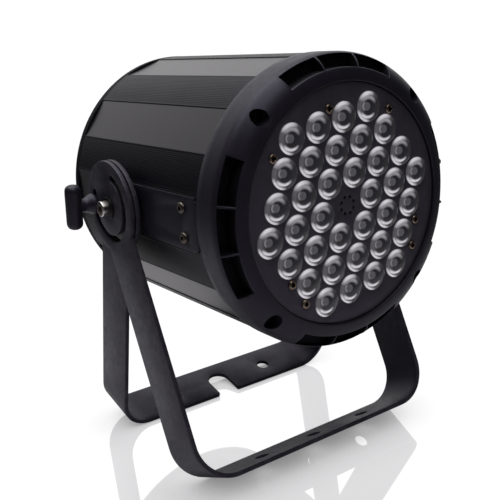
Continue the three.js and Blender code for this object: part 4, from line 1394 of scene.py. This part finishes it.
floor_mesh = bpy.data.meshes.new("floor")
floor_mesh.from_pydata([(x, y, FLOOR_Z) for x, y in corners(-FLOOR_HALF, FLOOR_HALF,
                                                            -FLOOR_HALF, FLOOR_HALF)],
                       [], [[0, 1, 2, 3]])
floor = bpy.data.objects.new("floor", floor_mesh)
floor_mesh.materials.append(floor_material())
bpy.context.scene.collection.objects.link(floor)


# ---------------------------------------------------------------- world
def studio_world():
    """White to the camera. Other rays see a dark room with one bright side."""
    world = bpy.data.worlds.new("studio")
    bpy.context.scene.world = world
    world.use_nodes = True
    sh = Shader(world.node_tree)
    out = sh.node("OutputWorld")
    bright_side = Vector((0.45, 0.75, 0.50)).normalized()
    facing = sh.vector("DOT_PRODUCT", sh.node("TexCoord").outputs["Generated"], bright_side)
    share = sh.node("MapRange", {"From Min": -1, "From Max": 1, "Value": facing}).outputs[0]
    glow = sh.ramp(share, [(0.74, (0.016, 0.0155, 0.018)), (0.93, (1.0, 1.0, 1.0))])
    room = sh.node("Background", {"Color": glow, "Strength": 1.0})
    backdrop = sh.node("Background", {"Color": (1, 1, 1), "Strength": 1.1})
    is_camera = sh.node("LightPath").outputs["Is Camera Ray"]
    choice = sh.node("MixShader", {0: is_camera, 1: room.outputs[0], 2: backdrop.outputs[0]})
    sh.put(out.inputs[0], choice.outputs[0])


studio_world()


# ---------------------------------------------------------------- lights and camera
def softbox(name, offset_m, target, width, power, height=None, glossy=True):
    """An area light. offset_m and target are from the pivot, in metres; power is in watts."""
    data = bpy.data.lights.new(name, "AREA")
    data.energy = power
    data.shape = "RECTANGLE"
    data.size, data.size_y = width, height or width
    ob = bpy.data.objects.new(name, data)
    ob.location = PIVOT + Vector(offset_m)
    ob.rotation_mode = "QUATERNION"
    aim = Vector(target) - Vector(offset_m)
    ob.rotation_quaternion = aim.to_track_quat("-Z", "Y")
    bpy.context.scene.collection.objects.link(ob)
    if not glossy:
        ob.visible_glossy = False


softbox("top_softbox", (-0.25, 0.25, 1.55), target=(0, 0, 0), width=1.5, power=22)
softbox("left_softbox", (-1.7, -0.35, 0.9), target=(0, 0, -0.02), width=0.8, height=1.0,
        power=0.6, glossy=False)
softbox("front_top_softbox", (-0.15, -1.0, 1.6), target=(0, -0.15, 0), width=0.8, power=7.0)
softbox("front_fill", (-0.30, -1.7, 0.35), target=(0, -0.15, 0), width=1.0, power=3.5,
        glossy=False)

CAMERA_OFFSET = Vector((-0.41867, -0.62534, 0.18330))  # from the pivot
CAMERA_RIGHT = Vector((0.8145, -0.5792, -0.0321))
CAMERA_UP = Vector((0.2087, 0.2410, 0.9478))
CAMERA_BACK = Vector((-0.5413, -0.7787, 0.3172))
camera_data = bpy.data.cameras.new("camera")
camera = bpy.data.objects.new("camera", camera_data)
bpy.context.scene.collection.objects.link(camera)
camera_turn = Matrix((CAMERA_RIGHT, CAMERA_UP, CAMERA_BACK)).transposed().to_4x4()
camera.matrix_world = Matrix.Translation(PIVOT + CAMERA_OFFSET) @ camera_turn
camera_data.sensor_width = 36
camera_data.lens = 58.0608
camera_data.clip_start, camera_data.clip_end = 0.01, 50
bpy.context.scene.camera = camera
bpy.context.scene.view_settings.view_transform = "Standard"
